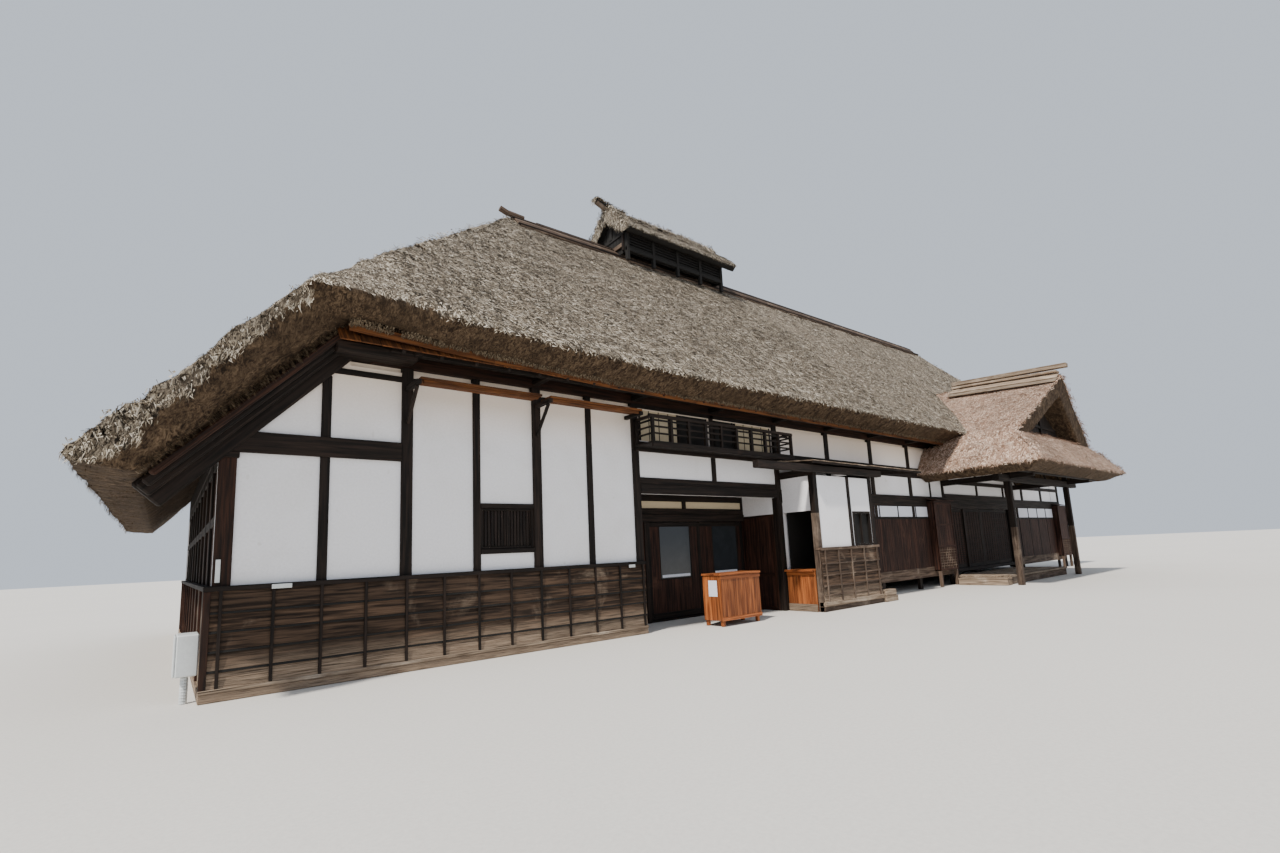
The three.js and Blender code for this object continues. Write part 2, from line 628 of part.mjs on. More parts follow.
// Desk of upright planks on four feet, open at the back, with one shelf.
function ticketDesk() {
  const board = 30;
  const foot = 60;
  const clear = 60;
  const under = DESK_TOP - 35;
  const parts = [
    block(DESK_X0, DESK_X1, DESK_Y0, DESK_Y0 + board, clear, under + 1),
    block(DESK_X0, DESK_X0 + board, DESK_Y0, DESK_Y1, clear, under + 1),
    block(DESK_X1 - board, DESK_X1, DESK_Y0, DESK_Y1, clear, under + 1),
    block(DESK_X0, DESK_X1, DESK_Y0, DESK_Y1, 420, 445),
    block(DESK_X0 - 25, DESK_X1 + 25, DESK_Y0 - 25, DESK_Y1 + 15, under, DESK_TOP),
  ];
  for (const x of [DESK_X0, DESK_X1 - foot]) {
    parts.push(block(x, x + foot, DESK_Y0, DESK_Y0 + foot, 0, clear + 40));
    parts.push(block(x, x + foot, DESK_Y1 - foot, DESK_Y1, 0, clear + 40));
  }
  node('ticket_desk', join(parts), 'counter');
}

// Front, from the booth to the end of the house.
function frontEast() {
  const from = ENTRY_X1 - 75;
  const to = GRAND_X0 + 60;
  const frontPosts = [10, 12, 14, 16].map((n) => n * BAY);
  const members = [
    ...uprights(frontPosts, POST, 0, EAVE_BEAM_LOW),
    [to - 120, to, 0, EAVE_BEAM_LOW],
    [ENTRY_X1, to, EAVE_BEAM_LOW - 70, EAVE_BEAM_LOW],
    [ENTRY_X1, to, WHITE_TOP, UPPER_PANEL_LOW],
    [ENTRY_X1, to, BAND_TOP, BEAM_TOP],
    [12 * BAY, to, PLANK_LOW, BOARDS_LOW],
    [12 * BAY, to, BAND_LOW - 50, BAND_LOW],
  ];
  node('front_frame_middle', lattice('front', members), 'timber');
  const openings = [
    [13900, 15650, BAND_LOW + 10, BAND_TOP - 10],
    [15860, 16800, BAND_LOW + 10, BAND_TOP - 10],
  ];
  const foot = SIDES.front(ENTRY_X1 + 75 + GAP, 12 * BAY - 75 - GAP, PLASTER_FACE, WALL_BACK, 0, PLANK_LOW + 1);
  node('front_wall_middle', plaster('front', [from + GAP, to, PLANK_LOW, EAVE_BEAM_LOW], members, openings)
    .add(foot), 'plaster');
  node('band_panes_middle', SIDES.front(13850, 16850, WALL_BACK, WALL_BACK + 12, BAND_LOW - 20, BAND_TOP + 20),
    'glass');
  const overDoors = [
    [to, GRAND_X1 - 60, DOOR_HEAD, BEAM_TOP + 110],
    ...uprights([20.5 * BAY], STUD, BEAM_TOP, EAVE_BEAM_LOW),
    [to, GRAND_X1 - 60, 3000, 3120],
    [to, GRAND_X1 - 60, EAVE_BEAM_LOW - 70, EAVE_BEAM_LOW],
  ].map(([a, b, c, d]) => [Math.max(a, to), Math.min(b, GRAND_X1 - 60), c, d]);
  node('door_head_frame', lattice('front', overDoors), 'timber');
  node('door_head_wall', plaster('front', [to, GRAND_X1 - 60, DOOR_HEAD, EAVE_BEAM_LOW], overDoors),
    'plaster');
  const highBeam = BAND_TOP + 40;
  const end = [
    [GRAND_X1 - 60, GRAND_X1 + 60, 0, EAVE_BEAM_LOW],
    ...uprights([24.5 * BAY, 26.5 * BAY], POST, highBeam, EAVE_BEAM_LOW),
    [BAND_X0 - 80, BAND_X0, 0, EAVE_BEAM_LOW],
    [BAND_X1, BAND_X1 + 80, 0, EAVE_BEAM_LOW],
    [HOUSE_END - CORNER, HOUSE_END + CORNER, 0, EAVE_BEAM_LOW],
    [GRAND_X1, HOUSE_END, EAVE_BEAM_LOW - 70, EAVE_BEAM_LOW],
    [GRAND_X1, HOUSE_END, WHITE_TOP - 90, WHITE_TOP + 30],
    [GRAND_X1, HOUSE_END, highBeam, BEAM_TOP + 30],
    [GRAND_X1, HOUSE_END, PLANK_LOW, BOARDS_LOW],
    [GRAND_X1, HOUSE_END, BAND_LOW - 50, BAND_LOW],
  ];
  node('front_frame_east', lattice('front', end), 'timber');
  const band = [[BAND_X0, BAND_X1, BAND_LOW + 10, highBeam - 10]];
  node('front_wall_east', plaster('front', [GRAND_X1 - 60, HOUSE_END + CORNER - GAP, PLANK_LOW, EAVE_BEAM_LOW],
    end, band), 'plaster');
  node('band_panes_east', SIDES.front(BAND_X0 - 50, BAND_X1 + 50, WALL_BACK, WALL_BACK + 12,
    BAND_LOW - 20, highBeam + 20), 'glass');
}

function shutterBox(name, x0, x1) {
  const y0 = -200;
  const foot = 80;
  const box = join([
    block(x0, x1, y0, y0 + 25, 450, 2380),
    block(x0, x0 + 25, y0, 0, 450, 2380),
    block(x1 - 25, x1, y0, 0, 450, 2380),
    block(x0, x1, y0, 0, 450, 490),
    prismAlongX([[y0 - 90, 2390], [y0 - 90, 2440], [0, 2520], [0, 2370], [y0, 2370]], x0 - 50, x1 + 50),
    block(x0 + 10, x0 + 10 + foot, y0 + 10, y0 + 10 + foot, 0, 460),
    block(x1 - 10 - foot, x1 - 10, y0 + 10, y0 + 10 + foot, 0, 460),
  ]);
  node(name, box, 'board');
}

function grandDoors() {
  const x0 = GRAND_X0 + 60;
  const x1 = GRAND_X1 - 60;
  const z0 = RAISED_FLOOR;
  const z1 = DOOR_HEAD - RUN_GAP;
  const width = (x1 - x0) / 4;
  const leaves = [
    ['lattice_door_1', 0, 1], ['lattice_door_2', 1, 0], ['lattice_door_3', 2, 0], ['lattice_door_4', 3, 1],
  ];
  for (const [name, place, track] of leaves) {
    const left = x0 + place * width + (place === 0 ? 6 : -20) + (place === 2 ? 23 : 0);
    const right = x0 + (place + 1) * width + (place === 3 ? -6 : 20) - (place === 1 ? 23 : 0);
    node(name, slidingLeaf(left, right, 18 + track * TRACK_PITCH, z0, z1), 'board');
  }
}

// Plain end and back walls.
function rightEnd() {
  const s0 = WALL_BACK;
  const s1 = HOUSE_DEPTH - WALL_BACK;
  const posts = [];
  for (let i = 2; i <= 8; i += 2) posts.push(i * BAY + 75);
  const members = [
    ...uprights(posts, POST, 0, EAVE_BEAM_LOW),
    [s0, s1, PLANK_LOW, BOARDS_LOW],
    [s0, s1, BAND_TOP, BEAM_TOP],
    [s0, s1, WHITE_TOP, UPPER_PANEL_LOW],
    [s0, s1, EAVE_BEAM_LOW, 4556],
  ];
  node('right_frame', lattice('right', members), 'timber');
  node('right_wall', plaster('right', [s0, s1, PLANK_LOW, EAVE_BEAM_LOW], members.slice(0, -1)), 'plaster');
}

function backSide() {
  const posts = [];
  for (let i = 2; i <= 26; i += 2) posts.push(i * BAY);
  const members = [
    ...uprights(posts, POST, 0, EAVE_BEAM_LOW),
    [-CORNER, CORNER, 0, NAGESHI_TOP],
    [HOUSE_END - CORNER, HOUSE_END + CORNER, 0, EAVE_BEAM_LOW],
    [-CORNER, HOUSE_END, 0, SILL_TOP],
    [-CORNER, HOUSE_END, WAINSCOT_TOP - 60, WAINSCOT_TOP],
    [-CORNER, HOUSE_END, NAGESHI_LOW, NAGESHI_TOP],
    [1250, HOUSE_END, EAVE_BEAM_LOW - 70, EAVE_BEAM_LOW],
  ];
  node('back_frame', lattice('back', members), 'timber');
  const windows = [7, 9, 11, 19, 21, 23].map((n) => [n * BAY - 800, n * BAY + 800, 1500, 2200]);
  let wall = plaster('back', [-CORNER + GAP, HOUSE_END + CORNER - GAP, 0, EAVE_BEAM_LOW], members, windows);
  wall = cut(wall, [prismAlongY([[-700, leftThatchUnder(-700) - 20], [1800, leftThatchUnder(1800) - 20],
    [1800, 7000], [-700, 7000]], HOUSE_DEPTH - WALL_BACK - 20, HOUSE_DEPTH + 20)]);
  node('back_wall', wall, 'plaster');
  node('back_window_panes', SIDES.back(5.5 * BAY, 24.5 * BAY, WALL_BACK, WALL_BACK + 12, 1450, 2250), 'glass');
}

function floors() {
  const y1 = HOUSE_DEPTH - WALL_BACK;
  const floor = block(12 * BAY, HOUSE_END + CORNER - WALL_BACK, WALL_BACK, y1, PLANK_LOW, RAISED_FLOOR);
  const threshold = block(GRAND_X0 + 60, GRAND_X1 - 60, 5, WALL_BACK + 1, PLANK_LOW, RAISED_FLOOR);
  node('raised_floor', floor.add(threshold), 'board');
  node('upper_floor', block(6 * BAY - 40, 18 * BAY, WALL_BACK, y1, 3180, BALCONY_FLOOR), 'board');
}

// Porch roof: a flared hip with an open gable above it.
function porchRings(levels, extra = 0) {
  return levels.map(([half, front, z]) => [
    [PORCH_X - half, front, z], [PORCH_X + half, front, z],
    [PORCH_X + half, PORCH_BACK + extra, z], [PORCH_X - half, PORCH_BACK + extra, z],
  ]);
}

function porchTent(half, low, high, frontLow, frontHigh, end, rise = 0) {
  const highEnd = high + rise * (end - frontHigh);
  return loft([
    [[PORCH_X - half, frontLow, low], [PORCH_X, frontHigh, high], [PORCH_X + half, frontLow, low]],
    [[PORCH_X - half, end, low], [PORCH_X, end, highEnd], [PORCH_X + half, end, low]],
  ]);
}

function porchShell() {
  const upperHalf = PORCH_HALF - SKIRT_RUN;
  const skirt = loft(porchRings([
    [PORCH_HALF - PORCH_LIP, PORCH_FRONT + PORCH_LIP, PORCH_LIP_Z],
    [PORCH_HALF, PORCH_FRONT, PORCH_EAVE_Z],
    [upperHalf, PORCH_FRONT + SKIRT_RUN - 30, SKIRT_Z],
  ]));
  const upper = porchTent(upperHalf, SKIRT_Z - 1, PORCH_RIDGE_Z, PORCH_FRONT + SKIRT_RUN - 30,
    PORCH_RIDGE_Y, PORCH_BACK, PORCH_RIDGE_RISE);
  const room = loft(porchRings([
    [PORCH_HALF - PORCH_LIP - 40, PORCH_FRONT + PORCH_LIP + 40, PORCH_LIP_Z - 10],
    [ROOM_HALF, GABLE_BOARD_Y + 50, ROOM_Z],
  ], 100));
  const roomTop = porchTent(ROOM_HALF, ROOM_Z - 1, ROOM_Z + ROOM_HALF * PORCH_PITCH,
    GABLE_BOARD_Y + 50, GABLE_BOARD_Y + 50, PORCH_BACK + 100);
  const mouthTop = GABLE_BASE_Z + GABLE_HALF * PORCH_PITCH;
  const mouth = porchTent(GABLE_HALF, GABLE_BASE_Z, mouthTop, -3600, -3600, GABLE_BOARD_Y + 51);
  return cut(skirt.add(upper), [room, roomTop, mouth]);
}

function porchRoof() {
  const behind = prismAlongX([
    [-530, 3955], [-5, 3955], [-5, 2000], [5000, 2000], [5000, 9600], [-530, 4200],
  ], 12000, RIDGE_END);
  const slope = frontThatch();
  const keepOut = join([
    slope.translate([0, 0, 0.5]), slope.translate([0, 0, -0.5]), slope.translate([0, -0.5, 0]), behind,
  ]);
  const shell = porchShell().subtract(keepOut);
  node('porch_thatch', shell, 'thatch');
  const board = prismAlongY([
    [PORCH_X - GABLE_HALF - 90, GABLE_BASE_Z - 50], [PORCH_X + GABLE_HALF + 90, GABLE_BASE_Z - 50],
    [PORCH_X, GABLE_BASE_Z + GABLE_HALF * PORCH_PITCH + 60],
  ], GABLE_BOARD_Y, GABLE_BOARD_Y + 50);
  node('porch_gable_board', board.subtract(shell), 'timber');
  const end = 350;
  const ridgeAt = (y) => PORCH_RIDGE_Z + (y - PORCH_RIDGE_Y) * PORCH_RIDGE_RISE;
  const capRing = (y, half, foot, crown) => [
    [PORCH_X - half, y, ridgeAt(y) - foot], [PORCH_X - 150, y, ridgeAt(y) + crown],
    [PORCH_X + 150, y, ridgeAt(y) + crown], [PORCH_X + half, y, ridgeAt(y) - foot],
  ];
  const cap = loft([PORCH_RIDGE_Y + 10, end].map((y) => capRing(y, 520, 320, 160)));
  const boards = prismAlongX([
    [PORCH_RIDGE_Y - 190, 6420], [PORCH_RIDGE_Y + 10, 6150], [end - 20, 6330],
    [end - 20, 6660], [PORCH_RIDGE_Y + 500, 6440],
  ], PORCH_X - 110, PORCH_X + 110);
  const seat = porchShell();
  node('porch_ridge', cut(cap.add(boards), [seat, seat.translate([0, -0.3, 0]), seat.translate([0, 0, 0.8])]), 'pale');
}

function porchFrame() {
  const low = 2830;
  const high = 3020;
  const half = PORCH_POST_WIDTH / 2;
  const frontBeamY = -2440;
  const parts = [
    block(PORCH_X - 3300, PORCH_X + 3300, PORCH_POST_Y - 80, PORCH_POST_Y + 80, low, high),
    block(PORCH_X - 3300, PORCH_X + 3300, frontBeamY, frontBeamY + 120, high - 20, high + 75),
    block(PORCH_X - 2600, PORCH_X + 2600, PORCH_POST_Y - 60, PORCH_POST_Y + 60, high + 240, high + 360),
  ];
  for (const x of [PORCH_POST_LEFT, PORCH_POST_RIGHT]) {
    parts.push(block(x - half, x + half, PORCH_POST_Y - half, PORCH_POST_Y + half, 0, low + 1));
    parts.push(block(x - 65, x + 65, frontBeamY, 0, high - 110, high + 50));
    parts.push(block(x - 60, x + 60, PORCH_POST_Y - 60, PORCH_POST_Y + 60, high, high + 300));
  }
  node('porch_frame', join(parts), 'timber');
  node('porch_deck', block(GRAND_X0 + 60, GRAND_X1 - 60, DECK_Y, 60, 0, DECK_Z), 'pale');
}

function smokeVent() {
  const bodyTop = VENT_EAVE_Z + 40;
  const bodyX0 = VENT_X0 + 180;
  const bodyX1 = VENT_X1 - 380;
  const parts = [];
  for (const side of [-1, 1]) {
    const y = RIDGE_Y + side * VENT_BODY_HALF;
    for (let i = 0; i <= 4; i += 1) {
      const x = bodyX0 + 50 + i * (bodyX1 - bodyX0 - 100) / 4;
      parts.push(block(x - 50, x + 50, y - 50, y + 50, 9300, bodyTop));
    }
    parts.push(block(bodyX0, bodyX1, y - 60, y + 60, bodyTop - 100, bodyTop));
    parts.push(block(bodyX0, bodyX1, y - 40, y + 40, 9900, 10020));
  }
  for (const x of [bodyX0, bodyX1 - 100]) {
    parts.push(block(x, x + 100, RIDGE_Y - VENT_BODY_HALF, RIDGE_Y + VENT_BODY_HALF, bodyTop - 100, bodyTop));
    parts.push(block(x, x + 100, RIDGE_Y - 60, RIDGE_Y + 60, bodyTop - 50, VENT_RIDGE_Z - VENT_THATCH + 20));
  }
  const under = VENT_THATCH;
  const fall = (VENT_RIDGE_Z - VENT_EAVE_Z) / VENT_HALF;
  const hung = 200 * fall - under - 0.4;
  const overhead = prismAlongX([
    [RIDGE_Y - VENT_HALF, VENT_EAVE_Z], [RIDGE_Y - VENT_HALF + 200, VENT_EAVE_Z + hung],
    [RIDGE_Y, VENT_RIDGE_Z - under - 0.4], [RIDGE_Y + VENT_HALF - 200, VENT_EAVE_Z + hung],
    [RIDGE_Y + VENT_HALF, VENT_EAVE_Z], [RIDGE_Y, 14000],
  ], 8000, 15000);
  const seat = [roofMass(GAP), overhead];
  node('vent_frame', cut(join(parts), seat), 'timber');
  const thatch = prismAlongX([
    [RIDGE_Y - VENT_HALF, VENT_EAVE_Z], [RIDGE_Y - VENT_HALF + 200, VENT_EAVE_Z + 200 * fall - under],
    [RIDGE_Y, VENT_RIDGE_Z - under], [RIDGE_Y + VENT_HALF - 200, VENT_EAVE_Z + 200 * fall - under],
    [RIDGE_Y + VENT_HALF, VENT_EAVE_Z], [RIDGE_Y, VENT_RIDGE_Z],
  ], VENT_X0, VENT_X1);
  const ridge = join([
    prismAlongX([
      [RIDGE_Y - 260, VENT_RIDGE_Z - 260 * fall - 5], [RIDGE_Y, VENT_RIDGE_Z - 5],
      [RIDGE_Y + 260, VENT_RIDGE_Z - 260 * fall - 5], [RIDGE_Y + 240, VENT_RIDGE_Z - 140],
      [RIDGE_Y, VENT_RIDGE_Z + 60], [RIDGE_Y - 240, VENT_RIDGE_Z - 140],
    ], VENT_X0 + 40, VENT_X1 - 40),
    log([VENT_X0 - 380, RIDGE_Y, VENT_RIDGE_Z + 130], [VENT_X0 + 700, RIDGE_Y, VENT_RIDGE_Z + 50], 55),
  ]);
  node('vent_thatch', thatch.add(ridge), 'thatch');
}

node('thatch_front', frontThatch(), 'thatch');
node('thatch_back', mirrorDepth(frontThatch()), 'thatch');
node('thatch_left', leftThatch(), 'thatch');
node('thatch_right', rightThatch(), 'thatch');
node('ridge_cap', ridgeCap(), 'pale');
node('eave_frame_front', eaveFrame(), 'timber');
node('eave_frame_back', mirrorDepth(eaveFrame()), 'timber');
node('rafters_front', rafters(), 'timber');
node('rafters_back', mirrorDepth(rafters()), 'timber');
smokeVent();
leftEnd();
frontWest();
node('shelf_boards', shelfBoards(), 'board');
entrance();
entranceDoors();
node('balcony', balcony(), 'timber');
booth();
ticketDesk();
frontEast();
shutterBox('shutter_box_left', 16570, 17655);
shutterBox('shutter_box_right', 27140, 28110);
grandDoors();
rightEnd();
backSide();
floors();
porchRoof();
porchFrame();
node('meter_box', block(-CORNER - 290, -CORNER - 75, 100, 450, 280, 715), 'box');

export default group;
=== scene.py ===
"""Looks of a long thatched farmhouse: straw, smoked timber, plaster, doors, booth and porch.

Everything is in metres in the frame of the solids: +X along the front, +Y into the house, +Z up.
"""

import logging
import math
import random
from dataclasses import dataclass, field
from enum import Enum

import bmesh
import bpy
from mathutils import Matrix, Vector, noise


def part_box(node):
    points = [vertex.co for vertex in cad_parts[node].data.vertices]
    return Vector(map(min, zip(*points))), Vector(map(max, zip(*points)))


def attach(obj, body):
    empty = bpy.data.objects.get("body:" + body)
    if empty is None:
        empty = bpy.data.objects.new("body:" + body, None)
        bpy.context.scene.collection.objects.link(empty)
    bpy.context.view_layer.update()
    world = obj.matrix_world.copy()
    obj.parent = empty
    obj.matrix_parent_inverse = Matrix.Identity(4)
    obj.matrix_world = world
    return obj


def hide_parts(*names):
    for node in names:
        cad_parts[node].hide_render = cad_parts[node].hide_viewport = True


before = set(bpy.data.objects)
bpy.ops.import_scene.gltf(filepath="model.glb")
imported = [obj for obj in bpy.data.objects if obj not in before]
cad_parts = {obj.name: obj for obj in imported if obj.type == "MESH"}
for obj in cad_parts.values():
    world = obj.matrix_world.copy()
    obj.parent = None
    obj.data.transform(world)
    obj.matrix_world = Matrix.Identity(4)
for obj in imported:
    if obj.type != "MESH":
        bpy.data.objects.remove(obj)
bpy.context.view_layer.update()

LOG = logging.getLogger("farmhouse")
Colour = tuple[float, float, float]
Span = tuple[float, float, float, float]
Box = tuple[float, float, float, float, float, float]

BAY = 0.985
HOUSE_END = 28.5 * BAY
HOUSE_DEPTH = 10 * BAY
CORNER = 0.085
EAVE_LOW = 4.012
TIMBER_BACK = 0.085
POST = 0.15
STUD = 0.11
HEAD_RAIL = (2.285, 2.572)
UPPER_RAIL = (3.09, 3.373)
BODY = "house"
VALUE = "NodeSocketFloat"
GRAIN = "grain"
TONE = "tone"


class Axis(Enum):
    """Main directions that a grain may follow."""

    X = Vector((1, 0, 0))
    Y = Vector((0, 1, 0))
    Z = Vector((0, 0, 1))


class Finish(Enum):
    """Surface finishes of the house."""

    THATCH = "thatch"
    THATCH_CUT = "thatch_cut"
    THATCH_PORCH = "thatch_porch"
    STRAW = "straw"
    STRAW_PORCH = "straw_porch"
    PLASTER = "plaster"
    TIMBER = "timber"
    RED_TIMBER = "red_timber"
    BOARD = "board"
    WEATHERED = "weathered"
    PALE = "pale"
    BOUNCE_LIT_SOFFIT = "soffit"
    CREAM = "cream"
    GREYED = "greyed"
    STRAW_EDGE = "straw_edge"
    COUNTER = "counter"
    PAPER = "paper"
    GLASS = "glass"
    PAINTED_SHADE = "painted_shade"
    METAL = "metal"
    FLOOR = "floor"


class Graph:
    """Short calls for adding and joining nodes in one shader tree."""

    def __init__(self, tree: bpy.types.NodeTree) -> None:
        """Starts on a tree and empties it.

        Args:
            tree: the node tree that is filled.
        """
        self.tree = tree
        tree.nodes.clear()

    @classmethod
    def material(cls, name: str) -> tuple[bpy.types.Material, "Graph"]:
        """Starts a material.

        Args:
            name: name of the material.

        Returns:
            The material and its empty graph.
        """
        material = bpy.data.materials.new(name)
        material.use_nodes = True
        return material, cls(material.node_tree)

    def add(self, kind: str, inputs: dict | None = None, **props: object) -> bpy.types.Node:
        """Adds a node.

        Args:
            kind: Blender's type name of the node.
            inputs: values or sockets for its inputs, by name or number.
            props: attributes of the node.

        Returns:
            The new node.
        """
        node = self.tree.nodes.new(kind)
        for key, value in props.items():
            setattr(node, key, value)
        for key, value in (inputs or {}).items():
            if isinstance(value, bpy.types.NodeSocket):
                self.tree.links.new(value, node.inputs[key])
            else:
                node.inputs[key].default_value = value
        return node

    def math(self, operation: str, first: object, second: object = 0.0) -> bpy.types.NodeSocket:
        """Adds a sum on two values and returns its result."""
        return self.add("ShaderNodeMath", {0: first, 1: second}, operation=operation).outputs[0]

    def noise(self, vector: object, scale: float, detail: float = 4.0, rough: float = 0.55,
              twist: float = 0.0) -> bpy.types.NodeSocket:
        """Adds a noise pattern.

        Args:
            vector: coordinate.
            scale: cells to a metre.
            detail: octaves.
            rough: weight of the finer octaves.
            twist: distortion.

        Returns:
            The pattern's value.
        """
        return self.add("ShaderNodeTexNoise", {
            "Vector": vector, "Scale": scale, "Detail": detail, "Roughness": rough, "Distortion": twist,
        }).outputs[0]

    def stretch(self, vector: object, scale: tuple[float, float, float]) -> bpy.types.NodeSocket:
        """Scales a coordinate differently along its axes."""
        return self.add("ShaderNodeMapping", {"Vector": vector, "Scale": scale}).outputs[0]

    def window(self, value: object, low: float, high: float) -> bpy.types.NodeSocket:
        """Maps a value from low..high to 0..1 with soft ends."""
        return self.add("ShaderNodeMapRange", {"Value": value, "From Min": low, "From Max": high},
                        interpolation_type="SMOOTHSTEP").outputs[0]

    def ramp(self, value: object, stops: list[tuple[float, Colour]]) -> bpy.types.NodeSocket:
        """Turns a value into a colour.

        Args:
            value: value or socket.
            stops: place from 0 to 1 and colour of each stop.

        Returns:
            The colour.
        """
        node = self.add("ShaderNodeValToRGB", {0: value})
        elements = node.color_ramp.elements
        while len(elements) < len(stops):
            elements.new(0.5)
        for element, (place, colour) in zip(elements, stops):
            element.position = place
            element.color = (*colour, 1.0)
        return node.outputs[0]

    def blend(self, amount: object, first: object, second: object, mode: str = "MIX") -> bpy.types.NodeSocket:
        """Blends two colours.

        Args:
            amount: share of the second colour.
            first: colour or socket.
            second: colour or socket.
            mode: Blender's blend mode.

        Returns:
            The blended colour.
        """
        node = self.add("ShaderNodeMix", data_type="RGBA", blend_type=mode)
        for index, value in ((0, amount), (6, first), (7, second)):
            if isinstance(value, bpy.types.NodeSocket):
                self.tree.links.new(value, node.inputs[index])
            elif index:
                node.inputs[index].default_value = (*value, 1.0)
            else:
                node.inputs[index].default_value = value
        return node.outputs[2]

    def finish(self, colour: object, roughness: object, height: object, bump: float, distance: float,
               **fixed: float) -> None:
        """Adds the surface shader and the output.

        Args:
            colour: base colour socket.
            roughness: roughness socket or value.
            height: height socket for the bump.
            bump: strength of the bump.
            distance: depth of the bump in metres.
            fixed: further plain values of the shader, with spaces written as underscores.
        """
        normal = self.add("ShaderNodeBump", {"Height": height, "Strength": bump, "Distance": distance})
        values = {"Base Color": colour, "Roughness": roughness, "Normal": normal.outputs[0]}
        values.update({key.replace("_", " "): value for key, value in fixed.items()})
        shader = self.add("ShaderNodeBsdfPrincipled", values)
        self.add("ShaderNodeOutputMaterial", {"Surface": shader.outputs[0]})


class Effects:
    """Shader groups that several finishes share."""

    def __init__(self) -> None:
        """Builds each group once."""
        self.grain = self._grain()
        self.stain = self._stain()
        self.straw = self._straw()

    @staticmethod
    def _start(name: str, inputs: dict[str, str], outputs: dict[str, str]) -> tuple[Graph, object, object]:
        """Starts a group with named sockets.

        Args:
            name: name of the group.
            inputs: socket types by input name.
            outputs: socket types by output name.

        Returns:
            The graph, its input node and its output node.
        """
        tree = bpy.data.node_groups.new(name, "ShaderNodeTree")
        graph = Graph(tree)
        for key, kind in inputs.items():
            tree.interface.new_socket(name=key, in_out="INPUT", socket_type=kind)
        for key, kind in outputs.items():
            tree.interface.new_socket(name=key, in_out="OUTPUT", socket_type=kind)
        return graph, graph.add("NodeGroupInput"), graph.add("NodeGroupOutput")

    @staticmethod
    def _close(graph: Graph, end: bpy.types.Node, sockets: tuple) -> bpy.types.NodeTree:
        """Joins results to a group's outputs.

        Args:
            graph: the group's graph.
            end: its output node.
            sockets: one result for each output.

        Returns:
            The finished group.
        """
        for index, socket in enumerate(sockets):
            graph.tree.links.new(socket, end.inputs[index])
        return graph.tree

    def patches(self, graph: Graph, where: object, scale: float, low: float, high: float) -> object:
        """Adds the patches group to a material.

        Args:
            graph: the material's graph.
            where: coordinate.
            scale: size of the pattern.
            low, high: pattern values at which patches start and are full.

        Returns:
            The mask of the patches.
        """
        return graph.add("ShaderNodeGroup", {0: where, 1: scale, 2: low, 3: high},
                         node_tree=self.stain).outputs[0]

    def _grain(self) -> bpy.types.NodeTree:
        """Wood grain along the first coordinate: growth bands, fibres and drying cracks.

        Returns:
            The node group.
        """
        graph, start, end = self._start(
            "Wood Grain", {"Vector": "NodeSocketVector", "Tone": VALUE},
            {"Bands": VALUE, "Fibres": VALUE, "Cracks": VALUE, "Height": VALUE})
        shift = graph.add("ShaderNodeCombineXYZ", {0: graph.math("MULTIPLY", start.outputs[1], 37.0),
                                                   2: graph.math("MULTIPLY", start.outputs[1], 91.0)})
        moved = graph.add("ShaderNodeVectorMath", {0: start.outputs[0], 1: shift.outputs[0]},
                          operation="ADD").outputs[0]
        bands = graph.noise(graph.stretch(moved, (0.9, 16.0, 16.0)), 1.6, 3.0, 0.5, 0.6)
        fibres = graph.noise(graph.stretch(moved, (2.2, 120.0, 120.0)), 1.5, 4.0, 0.6)
        split = graph.noise(graph.stretch(moved, (1.1, 42.0, 42.0)), 1.3, 2.0, 0.5, 0.2)
        cracks = graph.window(split, 0.64, 0.72)
        height = graph.math("ADD", graph.math("MULTIPLY", bands, 0.5), graph.math("MULTIPLY", fibres, 0.5))
        height = graph.math("SUBTRACT", height, graph.math("MULTIPLY", cracks, 0.7))
        return self._close(graph, end, (bands, fibres, cracks, height))

    def _stain(self) -> bpy.types.NodeTree:
        """Soft patches, for stains, bleaching and damp.

        Returns:
            The node group.
        """
        graph, start, end = self._start(
            "Patches", {"Vector": "NodeSocketVector", "Scale": VALUE, "Low": VALUE, "High": VALUE},
            {"Mask": VALUE})
        patch = graph.add("ShaderNodeTexNoise", {
            "Vector": start.outputs[0], "Scale": start.outputs[1], "Detail": 5.0, "Roughness": 0.6,
            "Distortion": 0.4}).outputs[0]
        mask = graph.add("ShaderNodeMapRange", {
            "Value": patch, "From Min": start.outputs[2], "From Max": start.outputs[3]},
            interpolation_type="SMOOTHSTEP").outputs[0]
        return self._close(graph, end, (mask,))

    def _straw(self) -> bpy.types.NodeTree:
        """Cut straw that runs down each slope: ends, bundles and broad weather marks.

        Returns:
            The node group.
        """
        graph, start, end = self._start(
            "Straw", {"Vector": "NodeSocketVector"},
            {"Ends": VALUE, "Bundles": VALUE, "Weather": VALUE, "Height": VALUE})
        where = start.outputs[0]
        normal = graph.add("ShaderNodeSeparateXYZ", {0: graph.add("ShaderNodeNewGeometry").outputs["Normal"]})
        sideways = graph.window(graph.math("SUBTRACT", graph.math("ABSOLUTE", normal.outputs[0]),
                                           graph.math("ABSOLUTE", normal.outputs[1])), -0.15, 0.15)
        ends = []
        bundles = []
        for scale in ((1.0, 0.5, 0.5), (0.5, 1.0, 0.5)):
            placed = graph.stretch(where, scale)
            ends.append(graph.noise(placed, 27.0, 4.0, 0.75, 1.2))
            bundles.append(graph.noise(placed, 9.0, 3.0, 0.62, 0.6))
        pick = []
        for front, side in (ends, bundles):
            mixed = graph.add("ShaderNodeMix", {0: sideways, 2: front, 3: side}, data_type="FLOAT")
            pick.append(mixed.outputs[0])
        weather = graph.noise(where, 0.55, 4.0, 0.6, 0.3)
        height = graph.math("ADD", graph.math("MULTIPLY", pick[0], 0.55),
                            graph.math("MULTIPLY", pick[1], 0.6))
        return self._close(graph, end, (pick[0], pick[1], weather, height))


